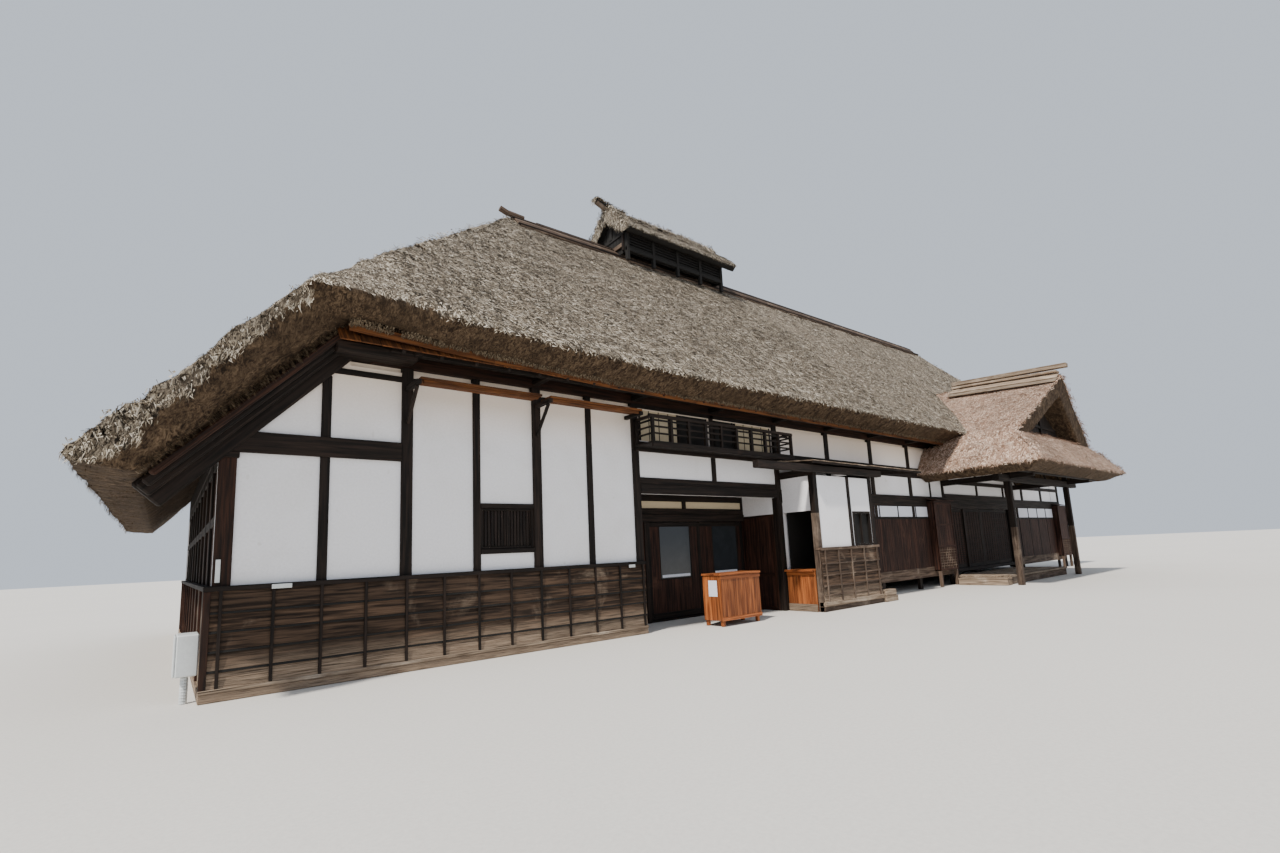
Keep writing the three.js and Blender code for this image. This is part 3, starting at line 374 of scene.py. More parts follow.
@dataclass(frozen=True)
class WoodFinish:
    """A timber finish.

    Attributes:
        name: name of the material.
        dark: colour of the sunken grain.
        light: colour of the raised grain.
        bleach: colour where sun and rain have worn it, also used for the painted sunlight on the foot of the
            boards.
        worn: how much of the surface is worn, from 0 to 1.
        foot_sun_and_wear: height in metres below which the boards grow paler, partly from weathering and
            partly as painted sunlight below the eave's shadow, or 0 for none.
        rough: roughness of the raised grain.
    """

    name: str
    dark: Colour
    light: Colour
    bleach: Colour
    worn: float = 0.2
    foot_sun_and_wear: float = 0.0
    rough: float = 0.7

    def build(self, effects: Effects) -> bpy.types.Material:
        """Builds the material.

        Args:
            effects: the shared groups.

        Returns:
            The material.
        """
        material, graph = Graph.material(self.name)
        along = graph.add("ShaderNodeUVMap", uv_map=GRAIN).outputs[0]
        tone = graph.add("ShaderNodeAttribute", attribute_name=TONE).outputs["Fac"]
        where = graph.add("ShaderNodeTexCoord").outputs["Object"]
        grain = graph.add("ShaderNodeGroup", {0: along, 1: tone}, node_tree=effects.grain)
        bands, fibres, cracks, height = grain.outputs[:4]
        wear_and_foot_sun = effects.patches(graph, where, 1.7, 0.75 - self.worn * 0.5, 0.95 - self.worn * 0.4)
        colour = graph.ramp(graph.window(bands, 0.32, 0.72), [(0.0, self.dark), (1.0, self.light)])
        fine = graph.ramp(fibres, [(0.3, (0.62, 0.6, 0.58)), (0.7, (1.25, 1.25, 1.25))])
        colour = graph.blend(0.8, colour, fine, "MULTIPLY")
        # Towards the foot the boards turn paler: partly weathering, partly painted sunlight that reaches
        # below the eave's shadow.
        if self.foot_sun_and_wear:
            height_z = graph.add("ShaderNodeSeparateXYZ", {0: where}).outputs[2]
            low = graph.math("SUBTRACT", 1.0, graph.window(height_z, self.foot_sun_and_wear * 0.35, self.foot_sun_and_wear))
            wear_and_foot_sun = graph.math("MAXIMUM", wear_and_foot_sun, graph.math("MULTIPLY", low, 0.85))
        wear_and_foot_sun = graph.math("MULTIPLY", wear_and_foot_sun, graph.window(fibres, 0.3, 0.62))
        colour = graph.blend(wear_and_foot_sun, colour, self.bleach)
        shade = graph.ramp(tone, [(0.0, (0.72, 0.72, 0.72)), (1.0, (1.22, 1.2, 1.18))])
        colour = graph.blend(1.0, colour, shade, "MULTIPLY")
        dark = tuple(c * 0.35 for c in self.dark)
        colour = graph.blend(graph.math("MULTIPLY", cracks, 0.8), colour, dark)
        rough = graph.math("SUBTRACT", self.rough + 0.15, graph.math("MULTIPLY", bands, 0.25))
        graph.finish(colour, rough, height, 0.5, 0.006, Specular_IOR_Level=0.25)
        return material


@dataclass(frozen=True)
class StrawFinish:
    """A thatch finish.

    Attributes:
        name: name of the material.
        gap_shade: painted shade colour in the gaps between the bundles.
        mid: usual colour.
        tip: colour of the ends.
        patch: colour of broad weathered areas.
        depth: depth of the relief in metres.
        bleach: how much paler than the tip the driest ends are.
    """

    name: str
    gap_shade: Colour
    mid: Colour
    tip: Colour
    patch: Colour
    depth: float = 0.05
    bleach: float = 1.5

    def build(self, effects: Effects) -> bpy.types.Material:
        """Builds the material.

        Args:
            effects: the shared groups.

        Returns:
            The material.
        """
        material, graph = Graph.material(self.name)
        where = graph.add("ShaderNodeTexCoord").outputs["Object"]
        straw = graph.add("ShaderNodeGroup", {0: where}, node_tree=effects.straw)
        ends, bundles, weather, height = straw.outputs[:4]
        bright = tuple(min(0.9, part * self.bleach) for part in self.tip)
        # The darkest stop and the darkening of low bundles are painted shade in the gaps between straw
        # bundles.
        colour = graph.ramp(ends, [(0.39, self.gap_shade), (0.47, self.mid), (0.56, self.tip), (0.66, bright)])
        bundle_shade = graph.ramp(bundles, [(0.38, (0.40, 0.37, 0.35)), (0.56, (1.12, 1.12, 1.12))])
        colour = graph.blend(0.85, colour, bundle_shade, "MULTIPLY")
        colour = graph.blend(graph.math("MULTIPLY", graph.window(weather, 0.42, 0.66), 0.5), colour,
                             self.patch)
        graph.finish(colour, 0.92, height, 1.0, self.depth, Specular_IOR_Level=0.2)
        return material


@dataclass(frozen=True)
class StemFinish:
    """The finish of loose straws, each with its own tone.

    Attributes:
        name: name of the material.
        stops: colours from the darkest to the palest straw.
    """

    name: str
    stops: tuple[Colour, ...]

    def build(self, effects: Effects) -> bpy.types.Material:
        """Builds the material.

        Args:
            effects: the shared groups.

        Returns:
            The material.
        """
        material, graph = Graph.material(self.name)
        tone = graph.add("ShaderNodeAttribute", attribute_name=TONE).outputs["Fac"]
        where = graph.add("ShaderNodeTexCoord").outputs["Object"]
        patches = effects.patches(graph, where, 0.8, 0.35, 0.7)
        share = 1.0 / (len(self.stops) - 1)
        colour = graph.ramp(tone, [(i * share, stop) for i, stop in enumerate(self.stops)])
        shade = graph.ramp(patches, [(0.0, (0.82, 0.8, 0.78)), (1.0, (1.1, 1.08, 1.06))])
        colour = graph.blend(1.0, colour, shade, "MULTIPLY")
        graph.finish(colour, 0.85, graph.noise(where, 90.0), 0.2, 0.002, Specular_IOR_Level=0.25)
        return material


@dataclass(frozen=True)
class CoatFinish:
    """A mineral, paper, metal or glass finish without grain.

    Attributes:
        name: name of the material.
        base: main colour.
        stain: colour of the stains.
        amount: how strong the stains are.
        scale: size of the stain pattern.
        rough: roughness.
        depth: depth of the relief in metres.
        metallic: 1 for bare metal.
        smoke: strength of the warm tint high under the eaves.
    """

    name: str
    base: Colour
    stain: Colour
    amount: float = 0.3
    scale: float = 1.2
    rough: float = 0.85
    depth: float = 0.002
    metallic: float = 0.0
    smoke: float = 0.0

    def build(self, effects: Effects) -> bpy.types.Material:
        """Builds the material.

        Args:
            effects: the shared groups.

        Returns:
            The material.
        """
        material, graph = Graph.material(self.name)
        where = graph.add("ShaderNodeTexCoord").outputs["Object"]
        patches = effects.patches(graph, where, self.scale, 0.42, 0.78)
        speck = graph.noise(where, 34.0, 5.0, 0.65)
        mask = graph.math("MULTIPLY", patches, self.amount)
        colour = graph.blend(mask, self.base, self.stain)
        dots = graph.window(graph.noise(graph.stretch(where, (1.0, 1.0, 0.7)), 7.5, 1.0), 0.76, 0.8)
        colour = graph.blend(graph.math("MULTIPLY", dots, self.amount), colour, self.stain)
        tint = graph.ramp(speck, [(0.3, (0.93, 0.93, 0.93)), (0.7, (1.04, 1.04, 1.04))])
        colour = graph.blend(1.0, colour, tint, "MULTIPLY")
        if self.smoke:
            height = graph.add("ShaderNodeSeparateXYZ", {0: where}).outputs[2]
            warm = graph.math("MULTIPLY", graph.window(height, 2.9, 4.05), self.smoke)
            colour = graph.blend(warm, colour, (0.90, 0.66, 0.40))
        rough = graph.math("ADD", self.rough - 0.08, graph.math("MULTIPLY", speck, 0.16))
        graph.finish(colour, rough, graph.math("ADD", speck, graph.noise(where, 5.0, 2.0)), 0.35, self.depth,
                     Metallic=self.metallic)
        return material


class Palette:
    """Builds each finish when it is first asked for."""

    RECIPES = {
        Finish.THATCH: StrawFinish("grey_thatch", gap_shade=(0.012, 0.009, 0.006), mid=(0.095, 0.074, 0.054),
                                   tip=(0.42, 0.36, 0.275), patch=(0.23, 0.185, 0.138)),
        Finish.THATCH_CUT: StrawFinish("cut_thatch", gap_shade=(0.016, 0.010, 0.006), mid=(0.058, 0.037, 0.022),
                                       tip=(0.115, 0.078, 0.047), patch=(0.052, 0.034, 0.020), depth=0.03),
        Finish.THATCH_PORCH: StrawFinish("porch_thatch_finish", gap_shade=(0.07, 0.040, 0.027),
                                         mid=(0.31, 0.195, 0.138), tip=(0.66, 0.49, 0.38),
                                         patch=(0.46, 0.28, 0.19)),
        Finish.STRAW: StemFinish("loose_straw", ((0.010, 0.008, 0.005), (0.13, 0.103, 0.074),
                                                 (0.50, 0.43, 0.325), (0.95, 0.88, 0.75))),
        Finish.STRAW_EDGE: StemFinish("khaki_straw_edge", ((0.03, 0.020, 0.012), (0.085, 0.060, 0.036),
                                                           (0.15, 0.112, 0.070), (0.24, 0.19, 0.13))),
        Finish.STRAW_PORCH: StemFinish("loose_porch_straw", ((0.075, 0.044, 0.030), (0.36, 0.225, 0.155),
                                                             (0.66, 0.47, 0.355), (0.90, 0.75, 0.63))),
        Finish.PLASTER: CoatFinish("lime_plaster", base=(0.89, 0.88, 0.90), stain=(0.56, 0.53, 0.47),
                                   amount=0.22, scale=0.9, rough=0.85, depth=0.004, metallic=0.0,
                                   smoke=0.55),
        Finish.TIMBER: WoodFinish("smoked_timber", dark=(0.005, 0.0035, 0.0025), light=(0.022, 0.013, 0.009),
                                  bleach=(0.055, 0.031, 0.020), worn=0.25, foot_sun_and_wear=0.0, rough=0.72),
        Finish.RED_TIMBER: WoodFinish("red_brown_timber", dark=(0.010, 0.0045, 0.0025),
                                      light=(0.052, 0.019, 0.009), bleach=(0.10, 0.044, 0.024), worn=0.3,
                                      foot_sun_and_wear=0.0, rough=0.68),
        Finish.BOARD: WoodFinish("brown_boards", dark=(0.012, 0.005, 0.0035), light=(0.062, 0.024, 0.014),
                                 bleach=(0.12, 0.058, 0.036), worn=0.35, foot_sun_and_wear=0.0, rough=0.72),
        # Their paler foot is partly weathering and partly painted sunlight below the eave's shadow.
        Finish.WEATHERED: WoodFinish("weathered_boards_sunlit_foot", dark=(0.018, 0.011, 0.007),
                                     light=(0.105, 0.064, 0.040), bleach=(0.33, 0.25, 0.18), worn=0.40,
                                     foot_sun_and_wear=0.55, rough=0.8),
        Finish.GREYED: WoodFinish("greyed_wood", dark=(0.050, 0.033, 0.024), light=(0.155, 0.110, 0.080),
                                  bleach=(0.32, 0.25, 0.19), worn=0.5, foot_sun_and_wear=0.0, rough=0.82),
        Finish.PALE: WoodFinish("pale_wood", dark=(0.15, 0.108, 0.075), light=(0.40, 0.315, 0.235),
                                bleach=(0.56, 0.475, 0.385), worn=0.5, foot_sun_and_wear=0.0, rough=0.85),
        # Boards under the eave: brown wood with the ground's warm bounce light painted in as orange.
        Finish.BOUNCE_LIT_SOFFIT: WoodFinish("bounce_lit_soffit", dark=(0.050, 0.017, 0.005), light=(0.19, 0.068, 0.018),
                                  bleach=(0.25, 0.12, 0.048), worn=0.3, foot_sun_and_wear=0.0, rough=0.75),
        Finish.COUNTER: WoodFinish("orange_planks", dark=(0.15, 0.040, 0.011), light=(0.44, 0.145, 0.043),
                                   bleach=(0.48, 0.22, 0.10), worn=0.15, foot_sun_and_wear=0.0, rough=0.5),
        Finish.CREAM: CoatFinish("old_panel_paper", base=(0.66, 0.55, 0.37), stain=(0.42, 0.32, 0.20),
                                 amount=0.35, scale=1.4, rough=0.8, depth=0.001),
        Finish.PAPER: CoatFinish("window_paper", base=(0.76, 0.78, 0.86), stain=(0.50, 0.50, 0.55),
                                 amount=0.25, scale=0.7, rough=0.45, depth=0.001),
        Finish.GLASS: CoatFinish("dark_glass", base=(0.020, 0.024, 0.028), stain=(0.06, 0.065, 0.07),
                                 amount=0.5, scale=0.8, rough=0.14, depth=0.001),
        # Near-black finish that paints shade: rooms behind openings, the dark under the eaves and gaps
        # between boards.
        Finish.PAINTED_SHADE: CoatFinish("painted_shade", base=(0.006, 0.005, 0.004), stain=(0.012, 0.010, 0.008),
                                     amount=0.4, scale=1.0, rough=0.9, depth=0.002),
        Finish.METAL: CoatFinish("painted_cover", base=(0.66, 0.69, 0.69), stain=(0.36, 0.36, 0.34),
                                 amount=0.3, scale=3.0, rough=0.45, depth=0.001),
        Finish.FLOOR: CoatFinish("studio_floor", base=(0.72, 0.69, 0.64), stain=(0.64, 0.61, 0.57),
                                 amount=0.3, scale=0.15, rough=0.9, depth=0.004),
    }

    def __init__(self) -> None:
        """Starts with the shared groups and no material."""
        self.effects = Effects()
        self.made: dict[Finish, bpy.types.Material] = {}

    def get(self, finish: Finish) -> bpy.types.Material:
        """Gives the material of a finish.

        Args:
            finish: the finish asked for.

        Returns:
            Its material, built once.
        """
        if finish not in self.made:
            self.made[finish] = self.RECIPES[finish].build(self.effects)
        return self.made[finish]


PALETTE = Palette()


def place(bm: bmesh.types.BMesh, name: str, finishes: list[Finish], body: str = BODY,
          replaces: tuple[str, ...] = (), slot: str = "timber") -> None:
    """Makes an object of a mesh, dresses it and lets it ride.

    Args:
        bm: the mesh, which is used up.
        name: name of the piece.
        finishes: one finish for each material number in the mesh.
        body: the body that it rides on.
        replaces: solids that it stands for.
        slot: not used.
    """
    mesh = bpy.data.meshes.new(name)
    bm.to_mesh(mesh)
    bm.free()
    for finish in finishes:
        mesh.materials.append(PALETTE.get(finish))
    piece = bpy.data.objects.new(name, mesh)
    bpy.context.scene.collection.objects.link(piece)
    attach(piece, body)
    if replaces:
        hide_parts(*replaces)
    LOG.info("%s: %d faces on %s", name, len(mesh.polygons), body)


def dress(nodes: tuple[str, ...], finish: Finish) -> None:
    """Gives solids that stay in view their finish.

    Args:
        nodes: names of the solids.
        finish: the finish they get.
    """
    for name in nodes:
        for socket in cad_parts[name].material_slots:
            socket.material = PALETTE.get(finish)


class Carpentry:
    """Bevelled timbers, boards and poles gathered in one mesh, with the grain along each of them."""

    def __init__(self, seed: int) -> None:
        """Starts an empty mesh.

        Args:
            seed: seed of the small differences between timbers.
        """
        self.bm = bmesh.new()
        self.grain = self.bm.loops.layers.uv.new(GRAIN)
        self.tone = self.bm.verts.layers.float.new(TONE)
        self.dice = random.Random(seed)

    def _dress(self, verts: list, along: Vector, slot: int) -> None:
        """Lays the grain and the tone on a finished timber.

        Args:
            verts: its vertices.
            along: direction of the grain.
            slot: material number.
        """
        tone = self.dice.random()
        shift = self.dice.uniform(0, 9)
        faces = {face for vert in verts for face in vert.link_faces}
        for vert in verts:
            vert[self.tone] = tone
        for face in faces:
            face.material_index = slot
            across = face.normal.cross(along)
            if across.length < 0.3:
                across = along.orthogonal()
            across.normalize()
            for loop in face.loops:
                loop[self.grain].uv = (loop.vert.co.dot(along), loop.vert.co.dot(across) + shift)

    def block(self, matrix: Matrix, along: Vector, bevel: float, slot: int) -> None:
        """Adds a bevelled block.

        Args:
            matrix: place, turn and size of a unit cube.
            along: direction of the grain.
            bevel: width of the worn edge.
            slot: material number.
        """
        verts = bmesh.ops.create_cube(self.bm, size=1.0, matrix=matrix)["verts"]
        if bevel > 0:
            edges = list({edge for vert in verts for edge in vert.link_edges})
            verts = bmesh.ops.bevel(self.bm, geom=edges, offset=bevel, offset_type="OFFSET", segments=1,
                                    profile=0.5, affect="EDGES", material=-1, clamp_overlap=True)["verts"]
        self._dress(verts, along, slot)

    def bar(self, x0: float, x1: float, y0: float, y1: float, z0: float, z1: float, axis: Axis | None = None,
            bevel: float = 0.006, slot: int = 0) -> None:
        """Adds a timber between six planes.

        Args:
            x0, x1, y0, y1, z0, z1: its lowest and highest coordinates.
            axis: direction of the grain, or the longest side.
            bevel: width of the worn edge.
            slot: material number.
        """
        low = Vector((x0, y0, z0))
        size = Vector((x1, y1, z1)) - low
        if axis is None:
            axis = (Axis.X, Axis.Y, Axis.Z)[max(range(3), key=lambda i: abs(size[i]))]
        bevel = min(bevel, min(abs(s) for s in size) * 0.3)
        self.block(Matrix.Translation(low + size / 2) @ Matrix.Diagonal((*size, 1)), axis.value, bevel, slot)

    def bars(self, boxes: list[Box], axis: Axis | None = None, bevel: float = 0.006, slot: int = 0) -> None:
        """Adds several timbers of one kind.

        Args:
            boxes: lowest and highest x, y and z of each.
            axis: direction of the grain, or the longest side.
            bevel: width of the worn edge.
            slot: material number.
        """
        for box in boxes:
            self.bar(*box, axis, bevel, slot)

    def row(self, across: Axis, box: Box, count: int, gap: float, grain: Axis = Axis.Z, bevel: float = 0.003,
            slot: int = 0) -> None:
        """Fills a box with boards side by side.

        Args:
            across: direction in which they follow each other.
            box: lowest and highest x, y and z of the whole row.
            count: number of boards.
            gap: space after each board.
            grain: direction of the grain.
            bevel: width of the worn edge.
            slot: material number.
        """
        first = 2 * list(Axis).index(across)
        step = (box[first + 1] - box[first]) / count
        for i in range(count):
            board = list(box)
            board[first] += i * step
            board[first + 1] = board[first] + step - gap
            self.bar(*board, grain, bevel, slot)

    def strut(self, start: tuple, end: tuple, width: float, depth: float, bevel: float = 0.006,
              slot: int = 0, up: Vector = Vector((0, 0, 1))) -> None:
        """Adds a straight timber between two points.

        Args:
            start, end: middle of its two ends.
            width: size across, level.
            depth: size across, upright.
            bevel: width of the worn edge.
            slot: material number.
            up: direction that its depth leans to.
        """
        first, last = Vector(start), Vector(end)
        along = (last - first).normalized()
        side = along.cross(up).normalized()
        turn = Matrix((side, along, side.cross(along))).transposed().to_4x4()
        size = Matrix.Diagonal((width, (last - first).length, depth, 1))
        self.block(Matrix.Translation((first + last) / 2) @ turn @ size, along, bevel, slot)

    def pole(self, start: tuple, end: tuple, radius: float, sides: int = 8, slot: int = 0,
             taper: float = 0.92) -> None:
        """Adds a round pole between two points.

        Args:
            start, end: middle of its two ends.
            radius: radius at the start.
            sides: number of sides.
            slot: material number.
            taper: radius at the end as a share of the first.
        """
        first, last = Vector(start), Vector(end)
        along = (last - first).normalized()
        turn = along.to_track_quat("Z", "Y").to_matrix().to_4x4()
        verts = bmesh.ops.create_cone(
            self.bm, cap_ends=True, segments=sides, radius1=radius, radius2=radius * taper,
            depth=(last - first).length, matrix=Matrix.Translation((first + last) / 2) @ turn)["verts"]
        self._dress(verts, along, slot)

    def lattice(self, spans: list[Span], y0: float, y1: float, slot: int = 0, bevel: float = 0.007) -> None:
        """Adds timbers given by their place along and up a wall that faces the front.

        Args:
            spans: lowest and highest x, then lowest and highest z, of each timber.
            y0, y1: front and back of all of them.
            slot: material number.
            bevel: width of the worn edge.
        """
        for x0, x1, z0, z1 in spans:
            self.bar(x0, x1, y0, y1, z0, z1, None, bevel, slot)

    def place(self, name: str, finishes: list[Finish], body: str = BODY, replaces: tuple[str, ...] = (),
              slot: str = "timber") -> None:
        """Makes the gathered timbers a piece; see the function of this name."""
        place(self.bm, name, finishes, body, replaces, slot)


def evenly(start: float, end: float, count: int) -> list[float]:
    """Places at equal distances, both ends included."""
    return [start + i * (end - start) / (count - 1) for i in range(count)]


def uprights(places: list[float], width: float, low: float, high: float) -> list[Span]:
    """Spans of upright timbers of one width."""
    return [(x - width / 2, x + width / 2, low, high) for x in places]


class SheafKit:
    """Small bunches of loose straw that are strewn over a surface."""

    def __init__(self, seed: int, straws: int, length: float, width: float, lift: float, spread: float,
                 tangle: float = 0.5) -> None:
        """Makes a dozen bunches.

        Args:
            seed: seed of their shapes.
            straws: straws in a bunch.
            length: usual length of a straw.
            width: width of a straw at its root.
            lift: height of its tip over the surface.
            spread: size of the bunch across.
            tangle: how far the straws turn away from the slope, in radians.
        """
        self.dice = random.Random(seed)
        self.tangle = tangle
        self.meshes = [self._bunch(straws, length, width, lift, spread) for _ in range(12)]

    def _bunch(self, straws: int, length: float, width: float, lift: float, spread: float) -> bpy.types.Mesh:
        """Makes one bunch that points down its own Y, with Z off the surface.

        Args:
            straws: number of straws.
            length: middle length of a straw.
            width: middle width of a straw.
            lift: height of the loose ends over the surface.
            spread: half width of the bunch.

        Returns:
            The bunch.
        """
        bm = bmesh.new()
        tone = bm.verts.layers.float.new(TONE)
        for _ in range(straws):
            verts = bmesh.ops.create_circle(bm, cap_ends=True, segments=3, radius=1.0)["verts"]
            long = length * self.dice.uniform(0.55, 1.3)
            size = Matrix.Diagonal((width * self.dice.uniform(0.6, 1.3), -long / 1.5, 1, 1))
            tip = Matrix.Rotation(-math.atan2(lift * self.dice.uniform(0.3, 1.4), long), 4, "X")
            turn = Matrix.Rotation(self.dice.gauss(0, self.tangle), 4, "Z")
            spot = Matrix.Translation((self.dice.uniform(-spread, spread), self.dice.uniform(-spread, spread),
                                       self.dice.uniform(0.0, 0.008)))
            bmesh.ops.transform(bm, matrix=spot @ turn @ tip @ size, verts=verts)
            value = self.dice.random() ** 1.2
            for vert in verts:
                vert[tone] = value
        mesh = bpy.data.meshes.new("bunch")
        bm.to_mesh(mesh)
        bm.free()
        return mesh

    def strew(self, faces: list, count: int, outward: float = 0.0) -> bmesh.types.BMesh:
        """Strews bunches over faces, pointing down the slope.

        Args:
            faces: faces of the thatch.
            count: number of bunches.
            outward: how far the bunches stand off the surface, from 0 to 1.

        Returns:
            A mesh with all straws.
        """
        bm = bmesh.new()
        bm.verts.layers.float.new(TONE)
        areas = [face.calc_area() for face in faces]
        for face in self.dice.choices(faces, areas, k=count):
            corners = [vert.co for vert in face.verts]
            u, v = self.dice.random(), self.dice.random()
            spot = corners[0].lerp(corners[1], u).lerp(corners[-1].lerp(corners[-2], u), v)
            normal = face.normal
            down = Vector((0, 0, -1)) - normal * -normal.z
            if down.length < 0.3 and normal.z > 0:
                down = Vector((0, self.dice.choice((-1, 1)), -0.2))
            elif down.length < 0.2:
                down = Vector((normal.x, normal.y, -0.4))
            down = (down.normalized() * (1 - outward) + normal * outward).normalized()
            side = down.cross(normal if outward < 0.5 else Vector((0, 0, 1)))
            if side.length < 0.1:
                side = Vector((1, 0, 0))
            side.normalize()
            turn = Matrix((-side, -down, side.cross(down))).transposed()
            if turn.determinant() < 0:
                turn = Matrix((side, -down, side.cross(down))).transposed()
            matrix = Matrix.Translation(spot) @ turn.to_4x4()
            mesh = self.dice.choice(self.meshes)
            mesh.transform(matrix)
            bm.from_mesh(mesh)
            mesh.transform(matrix.inverted())
        return bm


@dataclass(frozen=True)
class StrawSize:
    """Sizes of the straws on one part of a slope.

    Attributes:
        length: middle length of a straw.
        width: middle width of a straw.
        lift: height of the loose ends over the surface.
        spread: half width of a bunch.
    """

    length: float
    width: float
    lift: float
    spread: float


FRONT_STRAW = StrawSize(length=0.095, width=0.0110, lift=0.013, spread=0.12)
FAR_STRAW = StrawSize(length=0.095, width=0.0120, lift=0.012, spread=0.12)
VERGE_STRAW = StrawSize(length=0.050, width=0.0070, lift=0.004, spread=0.05)
STRAW_SIZES = (FRONT_STRAW, FAR_STRAW, FAR_STRAW, VERGE_STRAW)
LUMPS = ((1.1, 0.9), (3.5, 0.7), (8.0, 0.6))


@dataclass
class ThatchMass:
    """One body of thatch, rounded and roughened from its solids.

    Attributes:
        name: name of the piece.
        nodes: the solids it stands for.
        depth: fineness of its skin, as the depth of the octree.
        fill: share of the octree that the solids take up.
        rough: height of its lumps in metres.
        finishes: finish of the top and of the cut faces.
        straw: finish of the loose straws.
        bunches: number of bunches of loose straw on each part of the top.
        rim: number of bunches along the edges over the cut faces.
        hang: length of the straws that hang over those edges.
        bristles: number of bunches on the cut faces.
        seed: seed of the lumps and straws.
        roll: width of the rounded edge at the low left corner.
        open_gable: whether its left end counts as top.
    """

    name: str
    nodes: tuple[str, ...]
    depth: int
    fill: float
    rough: float
    finishes: tuple[Finish, Finish]
    straw: Finish
    bunches: tuple[int, ...]
    rim: int
    bristles: int
    seed: int = 1
    roll: float = 0.0
    open_gable: bool = False
    hang: float = 0.095
    low: Vector = field(default_factory=Vector, init=False)
    high: Vector = field(default_factory=Vector, init=False)

    def _merged(self) -> bpy.types.Mesh:
        """Joins copies of the solids and remeshes them as one skin.

        Returns:
            The remeshed skin.
        """
        bm = bmesh.new()
        for node in self.nodes:
            bm.from_mesh(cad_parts[node].data)
        bmesh.ops.remove_doubles(bm, verts=bm.verts, dist=0.0001)
        mesh = bpy.data.meshes.new(self.name + "_raw")
        bm.to_mesh(mesh)
        bm.free()
        raw = bpy.data.objects.new(mesh.name, mesh)
        bpy.context.scene.collection.objects.link(raw)
        remesh = raw.modifiers.new("even", "REMESH")
        remesh.mode = "SHARP"
        remesh.octree_depth = self.depth
        remesh.scale = self.fill
        remesh.sharpness = 1.0
        remesh.use_remove_disconnected = True
        bpy.context.view_layer.update()
        result = bpy.data.meshes.new_from_object(raw.evaluated_get(bpy.context.evaluated_depsgraph_get()))
        bpy.data.objects.remove(raw)
        return result

    def build(self) -> None:
        """Builds the thatch, its loose straws and the bristles of its cut faces."""
        self._measure()
        bm = bmesh.new()
        bm.from_mesh(self._merged())
        self._roughen(bm)
        tops, cuts = [], []
        for face in bm.faces:
            face.smooth = True
            spot = face.calc_center_median()
            top = face.normal.z > 0.22 or (self.open_gable and face.normal.x < -0.5)
            top = top or (spot.x < 0.6 and spot.y < self.low.y + self.roll)
            face.material_index = 0 if top else 1
            (tops if top else cuts).append(face)
        self._strew(tops, cuts)
        place(bm, self.name, list(self.finishes), replaces=self.nodes, slot="thatch")

    def _roughen(self, bm: bmesh.types.BMesh) -> None:
        """Rounds the edges a little and gives the skin its lumps, inside the solids' box.

        Args:
            bm: the skin.
        """
        edge = [vert for vert in bm.verts if self.roll and vert.co.x < 2.2 and vert.co.z > 2.95
                and vert.co.y < self.low.y + self.roll * 3]
        for verts, factor, turns in ((bm.verts, 0.35, 1), (edge, 0.5, 9)):
            for _ in range(turns):
                bmesh.ops.smooth_vert(bm, verts=verts, factor=factor, use_axis_x=True, use_axis_y=True,
                                      use_axis_z=True)
        bm.normal_update()
        for vert in bm.verts:
            lump = sum(noise.noise(vert.co * scale) * height for scale, height in LUMPS)
            vert.co += vert.normal * (lump * self.rough)
        self._kept(bm)
        bm.normal_update()

    def _strew(self, tops: list, cuts: list) -> None:
        """Strews loose straws on the top, over its edges and on the cut faces.

        Args:
            tops: faces that rain falls on.
            cuts: faces that were cut or lie below.
        """
        near, far = [], []
        for face in tops:
            spot = face.calc_center_median()
            (near if self.roll and spot.x < 1.8 and spot.y < 3.0 else far).append(face)
        parts = [far] if len(self.bunches) == 1 else [
            [face for face in far if face.normal.y < -0.3 and face.calc_center_median().x < 14.0],
            [face for face in far if face.normal.y < -0.3 and face.calc_center_median().x >= 14.0
             or face.normal.x < -0.3],
            [face for face in far if face.normal.y >= -0.3 and face.normal.x >= -0.3], near]
        for number, (faces, count) in enumerate(zip(parts, self.bunches)):
            size = STRAW_SIZES[number]
            kit = SheafKit(seed=self.seed + number, straws=12, length=size.length, width=size.width,
                           lift=size.lift, spread=size.spread, tangle=0.7)
            place(self._kept(kit.strew(faces, count)), f"{self.name}_straws_{number + 1}", [self.straw],
                  slot="thatch")
        low = set(cuts)
        edge = [face for face in tops
                if any(other in low for line in face.edges for other in line.link_faces)]
        fringe = SheafKit(seed=self.seed + 3, straws=12, length=self.hang, width=0.006, lift=0.003,
                          spread=0.05, tangle=0.35)
        place(self._kept(fringe.strew(edge, self.rim, 0.04)), self.name + "_fringe", [self.straw],
              slot="thatch")
        outer = [face for face in cuts if self._outside(face.calc_center_median())]
        brush = SheafKit(seed=self.seed + 7, straws=8, length=0.028, width=0.006, lift=0.01, spread=0.06)
        place(self._kept(brush.strew(outer, self.bristles, 0.75)), self.name + "_bristles",
              [Finish.THATCH_CUT], slot="thatch")

    def _measure(self) -> None:
        """Finds the lowest and highest corner of the solids together."""
        boxes = [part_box(node) for node in self.nodes]
        self.low = Vector([min(box[0][i] for box in boxes) for i in range(3)])
        self.high = Vector([max(box[1][i] for box in boxes) for i in range(3)])

    def _kept(self, bm: bmesh.types.BMesh) -> bmesh.types.BMesh:
        """Keeps a mesh inside the solids' box.

        Args:
            bm: the mesh, which is changed.

        Returns:
            The same mesh.
        """
        for vert in bm.verts:
            for i in range(3):
                vert.co[i] = min(max(vert.co[i], self.low[i]), self.high[i])
        return bm

    def _outside(self, spot: Vector) -> bool:
        """Tells whether a cut face lies near the outer edge of the roof.

        Args:
            spot: middle of the face.

        Returns:
            True near the edge.
        """
        low, high, reach = self.low, self.high, 0.75
        along = spot.x < low.x + reach * 3 or spot.x > high.x - reach
        return along or spot.y < low.y + reach or spot.y > high.y - reach


